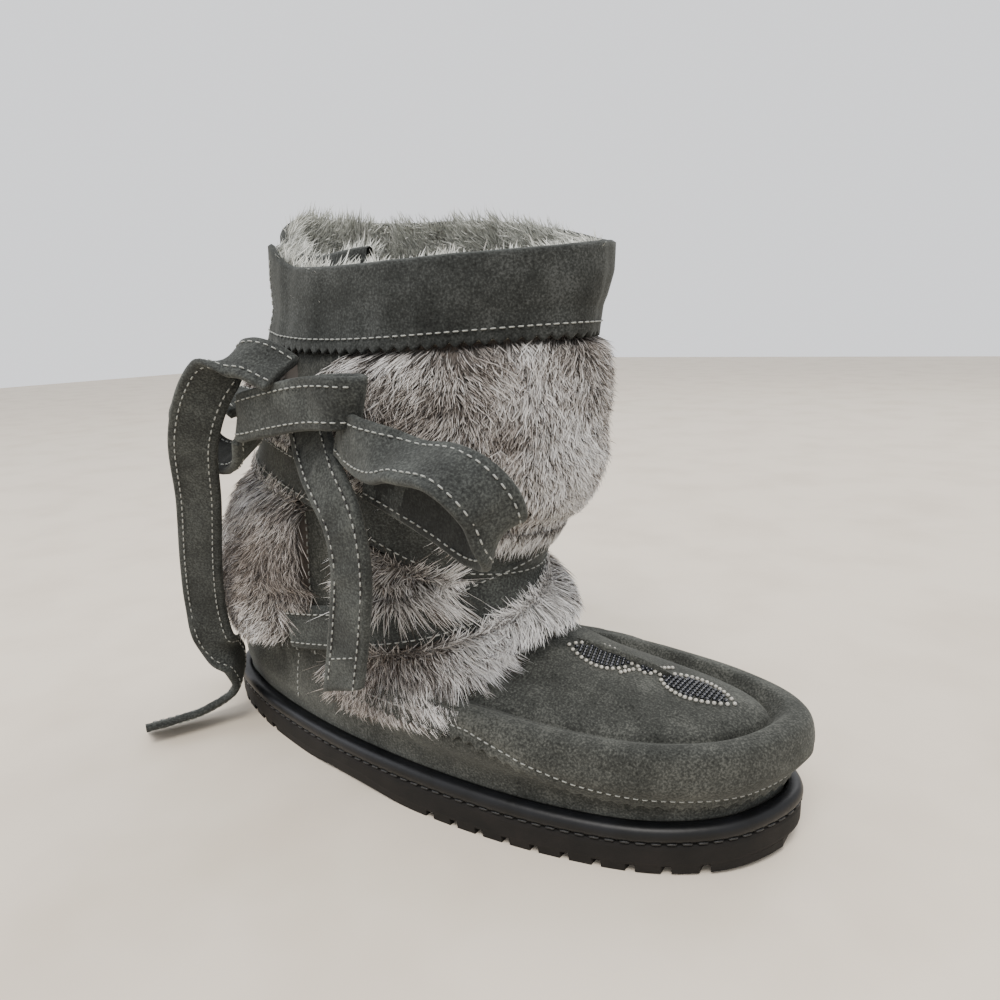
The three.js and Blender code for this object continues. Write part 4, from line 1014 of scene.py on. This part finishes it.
def undercoat(name, node, low_of, high_of, rows):
    places = np.linspace(0, TURN, 264, endpoint=False)
    low, high = low_of(places), high_of(places)
    share = np.linspace(0, 1, rows)[:, None]
    z = low + (high - low) * share
    p = np.repeat(places[None], rows, axis=0)
    depth = loft(p, z) - 2.6 + 0.9 * noise(p * 2.1, z / 7, 61)
    edge = share * (high - low)
    depth = np.maximum(depth * smoothstep(-2.5, 4, edge), 1.0)
    sample = shaft_point(p, z, depth)
    depth = 1.0 + (depth - 1.0) * smoothstep(-3.0, 0.5, -slot_depth(sample) - 1)
    points = shaft_point(p, z, np.maximum(depth, suede_stand(p, z) + 0.6))
    white, brown = coat(p, z)
    mix = np.clip(0.25 + 0.4 * white, 0, 1)[..., None]
    tone = DARK * (1 - mix) + GREY * 0.7 * mix
    tone = tone + (BROWN * 0.5 - tone) * np.clip(brown, 0, 0.8)[..., None]
    make(name, points, grid_faces(rows, len(places), False, True), FUR_HAIR, node, tidy=False,
         tone=tone.reshape(-1, 3))


undercoat("shaft_undercoat", "shaft_fur", lambda p: wrap_z(p) + 1, lambda p: around(*COLLAR_HEM, p) + 2, 40)
undercoat("ankle_undercoat", "ankle_fur", lambda p: hem_z(p) + 1, lambda p: wrap_z(p) - 1, 60)


def blades(name, root, normal, middle, tip, widths, tones, material):
    """Hair blades from arrays: each runs from root to tip through a middle point and narrows to its tip."""
    count = len(root)
    side = unit(np.cross(unit(tip - root), unit(normal + 0.75 * unit(random.normal(0, 1, (count, 3))))))
    half = side * widths[:, None] / 2
    points = np.stack([root - half * 0.8, root + half * 0.8, middle - half, middle + half, tip], 1)
    base = np.arange(count)[:, None, None] * 5
    faces = (base + np.array([(0, 1, 3), (0, 3, 2), (2, 3, 4)])[None]).reshape(-1, 3)
    tone = np.stack([tones[0], tones[0], tones[1], tones[1], tones[2]], 1)
    mesh = bpy.data.meshes.new(name)
    mesh.vertices.add(count * 5)
    mesh.vertices.foreach_set("co", (points.reshape(-1) * MM).astype(np.float32))
    mesh.loops.add(len(faces) * 3)
    mesh.loops.foreach_set("vertex_index", faces.reshape(-1).astype(np.int32))
    mesh.polygons.add(len(faces))
    mesh.polygons.foreach_set("loop_start", np.arange(0, len(faces) * 3, 3, dtype=np.int32))
    mesh.update(calc_edges=True)
    layer = mesh.color_attributes.new("tone", "FLOAT_COLOR", "POINT")
    colour = np.concatenate([tone.reshape(-1, 3), np.ones((count * 5, 1))], 1)
    layer.data.foreach_set("color", colour.astype(np.float32).ravel())
    mesh.polygons.foreach_set("use_smooth", np.ones(len(mesh.polygons), bool))
    mesh.materials.append(material)
    piece = bpy.data.objects.new(name, mesh)
    bpy.context.scene.collection.objects.link(piece)
    PIECES.append(piece)


def near_ties(place):
    """For each turn of the tie: its height, where it runs, and how much of it the fur above may hide."""
    upper_hidden = 1.5 + 8.5 * smoothstep(16.6, 17.4, place) * (1 - smoothstep(36, 42, place))
    lower_hidden = 3 + 13 * smoothstep(14.2, 14.9, place) * (1 - smoothstep(16.6, 17.6, place))
    return ((wrap_z(place), np.ones(len(place), bool), upper_hidden),
            (lower_wrap_z(place), (place > 10.2) & (place < 25.4), lower_hidden))


def coat_hairs(name, place, z, length):
    """Hairs combed down over the undercoat from roots at places and heights."""
    count = len(place)
    clump_p = np.round(place * 2.1 + 0.4 * noise(z / 9, place, 71)) / 2.1
    clump_z = np.round(z / 4.5 + 0.3 * noise(z / 12, place * 2, 75)) * 4.5
    lean = 0.6 * noise(place * 1.1, z / 15, 72) + 0.35 * noise(clump_p * 5, clump_z / 3,
        76) + random.normal(0, 0.4, count)
    upright = np.clip(random.normal(0.8, 0.22, count), 0.1, 1.0)
    for line_of, near, _ in near_ties(place):
        under = near & (z < line_of - TIE_WIDTH / 2) & (z > line_of - TIE_WIDTH / 2
                                                        - 5) & (random.uniform(0, 1, count) < 0.55)
        upright = np.where(under, random.uniform(-0.75, 0.1, count), upright)
    hug = random.uniform(0.1, 0.7, count)
    stand = np.abs(random.normal(0, 1.2, count)) + 0.5 * noise(place * 2, z / 8, 73)
    floor_line = np.interp(place % TURN, HEM_TIPS[:, 0], HEM_TIPS[:, 1]) - random.uniform(-1.0, 2.5, count)
    points = []
    for t in (0.0, 0.5, 1.0):
        drop = length * upright * (0.2 * t + 0.8 * t ** 1.3)
        p = place + (lean * t * length / 12) + (clump_p - place) * hug * t
        at_z = np.maximum(z - drop + (clump_z - z) * 0.15 * t, np.minimum(floor_line, z - 1.5 * t))
        start = np.maximum(loft(place, z) - 3.4, 0.8)
        puff = stand + 2.6 * (1 - np.abs(upright))
        reach = start + (loft(p, at_z) - 0.6 + puff - start) * (1 - (1 - t) ** 2)
        for line_of, near, _ in near_ties(p):
            over = near & (np.abs(at_z - line_of) < TIE_WIDTH / 2 + 1.5)
            reach = np.where(over, np.maximum(reach, FUR_PRESSED + GAP + TIE_THICK + 0.6 + stand * 0.4),
                             reach)
        reach = np.maximum(reach, suede_stand(p, at_z) + 0.6 + 2.2 * t)
        points.append(shaft_point(p, at_z, reach))
    normal = unit(shaft_point(place, z, np.full(count, 30.0)) - shaft_point(place, z, np.zeros(count)))
    white, brown = coat(place, z)
    white = white + random.normal(0, 0.25, count) + 0.45 * noise(clump_p * 5, clump_z / 3, 74)
    light = np.clip(0.55 + 0.65 * white, 0.0, 1.0)[:, None]
    warm = np.clip(brown + random.normal(0, 0.2, count), 0, 0.85)[:, None]
    body = GREY * (1 - light) + WHITE * light
    body = body + (BROWN - body) * warm * 0.8
    guard = (random.uniform(0, 1, count) < 0.3 - 0.12 * white + 0.15 * brown)[:, None]
    tones = [DARK * 0.6 + body * 0.08, np.where(guard, DARK * 0.9, body * 0.6),
             np.where(guard, BROWN * 0.55, np.minimum(body * 1.5, 0.96))]
    blades(name, points[0], normal, points[1], points[2], random.uniform(0.15, 0.38, count), tones,
           FUR_HAIR)


def keep(place, z):
    """Roots stand outside the slot and off the ties."""
    at = shaft_point(place, z, np.full(len(place), 8.0))
    under = np.zeros(len(place), bool)
    for line_of, near, _ in near_ties(place):
        under |= near & (np.abs(z - line_of) < TIE_WIDTH / 2 - 0.5)
    return (slot_depth(at) < 1.2) & ~under


def trimmed(place, z, length):
    """Shortens hairs that would hide more of a tie under them than they should."""
    for line_of, near, hidden in near_ties(place):
        edge = line_of + TIE_WIDTH / 2
        over = hidden * random.uniform(0.3, 1.15, len(place))
        length = np.where(near & (z > edge - 1), np.minimum(length, np.maximum(z - edge + over, 2.0)),
                          length)
        close = near & (z > edge - 1) & (z < edge + 5) & (hidden > 7)
        length = np.where(close, np.maximum(length, (z - edge + over)), length)
    return length


def sow(count, low_of, high_of):
    """Roots spread evenly between two heights round the boot, count of them kept."""
    place = random.uniform(0, TURN, count * 3)
    low, high = low_of(place), high_of(place)
    z = low + (high - low) * random.uniform(0, 1, count * 3)
    good = np.flatnonzero((random.uniform(0, 1, count * 3) < (high - low) / (high - low).max())
                          & keep(place, z))[:count]
    return place[good], z[good]


SHARE = 1.0
for piece_number in range(2):
    place, z = sow(int(40000 * SHARE), lambda p: wrap_z(p) + 7, lambda p: around(*COLLAR_HEM, p) + 1)
    coat_hairs(f"shaft_hairs_{piece_number}", place, z,
               trimmed(place, z, random.uniform(4.5, 9.5, len(place))))
for piece_number in range(2):
    place, z = sow(int(48000 * SHARE), lambda p: hem_z(p) - 1, lambda p: wrap_z(p) - 7)
    coat_hairs(f"ankle_hairs_{piece_number}", place, z,
               trimmed(place, z, random.uniform(5.5, 10.5, len(place))))

# ---- lining fur along the rim ----
LINING = [np.array(srgb(c)[:3]) for c in ("#b4b5ac", "#eeefe8")]
count = int(26000 * SHARE)
column = random.integers(0, 1100, count)
down = random.uniform(0, 20, count)
root = collar_point(column, np.clip(1 - down / (rim - hem)[column], 0, 1), -3.0)
normal = unit(shaft_point(at_place[column], root[:, 2], np.full(count, -40.0)) - root)
normal[:, 2] = 0
near_rim = smoothstep(12, 17, at_place[column] % TURN) * (1 - smoothstep(26, 31, at_place[column] % TURN))
rise = random.uniform(1.0, 5.5, count) * (1 - 0.6 * near_rim)
wander = random.normal(0, 1.5, (count, 3)) + 1.2 * np.column_stack([noise(column / 9, down / 4, k)
    for k in (81, 82, 83)])
into = random.uniform(1.0, 7.5, count)[:, None]
middle, tip = (root + normal * into * t ** 0.7 + np.outer(rise * t, (0, 0, 1)) + wander * t
               for t in (0.5, 1.0))
tone = random.uniform(0, 1, count)[:, None]
body = LINING[0] * (1 - tone) + LINING[1] * tone
blades("rim_hairs", root, normal, middle, tip, random.uniform(0.25, 0.48, count),
       [body * 0.4, body * 0.8, body * 1.05],
       LINING_HAIR)
lining_rows = np.array([collar_point(cols, s, -3.0) for s in np.linspace(0.98, 0.05, 12)])
make("collar_lining", lining_rows[:, ::4], grid_faces(12, 275), LINING_WOOL, tidy=False)

# ---- beads on the apron ----
REAR_TIP, CENTRE, FRONT_TIP = np.array([54.0, 1.5]), np.array([82.5, 9.5]), np.array([116.0, 8.0])


def ball(centre, radius, normal):
    """A seed bead: a small flattened ball standing on the suede."""
    rings, turns = 6, 10
    lat = np.linspace(-np.pi / 2, np.pi / 2, rings + 1)
    lon = np.arange(turns) * 2 * np.pi / turns
    points = np.stack([np.cos(lat)[:, None] * np.cos(lon), np.cos(lat)[:, None] * np.sin(lon),
                       0.85 * np.sin(lat)[:, None] + 0 * lon], -1) * radius
    a = unit(np.cross(normal, (0.3, 0.9, 0.1)))
    b = np.cross(normal, a)
    points = points @ np.array([a, b, normal]) + centre
    return points.reshape(-1, 3), grid_faces(rings + 1, turns, False, True)


def drop(spot):
    at, normal, _, _ = push_tree.ray_cast(Vector((spot[0], spot[1], 90)), Vector((0, 0, -1)))
    return np.array(at), np.array(normal)


def wing(start, end, width, pale, dark):
    """A leaf of beads: a pale outline and dark rows inside it."""
    along = end - start
    length = np.linalg.norm(along)
    along = along / length
    across = np.array([-along[1], along[0]])

    def shape(share):
        return width / 2 * np.sin(np.pi * np.clip(share, 0, 1) ** 0.85) ** 0.8

    s = np.linspace(0, 1, int(length / 1.75))
    for side in (-1, 1):
        pale += [start + along * length * v + across * side * shape(v) for v in s]
    for offset in np.arange(-width / 2, width / 2 + 0.1, 1.8):
        for v in np.arange(0.06, 0.95, 1.8 / length):
            if abs(offset) < shape(v) - 1.5:
                dark.append(start + along * length * v + across * offset)


pale, dark = [], []
wing(CENTRE - (5.5, 1.2), REAR_TIP, 15, pale, dark)
wing(CENTRE + (5.5, -0.6), FRONT_TIP, 15, pale, dark)
for angle in np.arange(0, 2 * np.pi, 2 * np.pi / 9):
    pale.append(CENTRE + 3.3 * np.array([np.cos(angle), np.sin(angle)]))
dark.append(CENTRE)
for angle in np.arange(0.4, 2 * np.pi, 2 * np.pi / 5):
    dark.append(CENTRE + 1.7 * np.array([np.cos(angle), np.sin(angle)]))
for side in (-1, 1):
    for n in range(4):
        pale.append(CENTRE + (side * 1.2, 0) + np.array([side * 0.9, side * 1.6]) * (n + 2.6))
for name, spots, material in (("bead_outline", pale, BEAD_PALE), ("bead_fill", dark, BEAD_DARK)):
    parts = []
    for spot in spots:
        at, normal = drop(spot)
        parts.append(ball(at + normal * 0.5, 0.8, normal))
    points, faces = joined(parts)
    make(name, points, faces, material)

for piece in PIECES:
    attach(piece, "root")
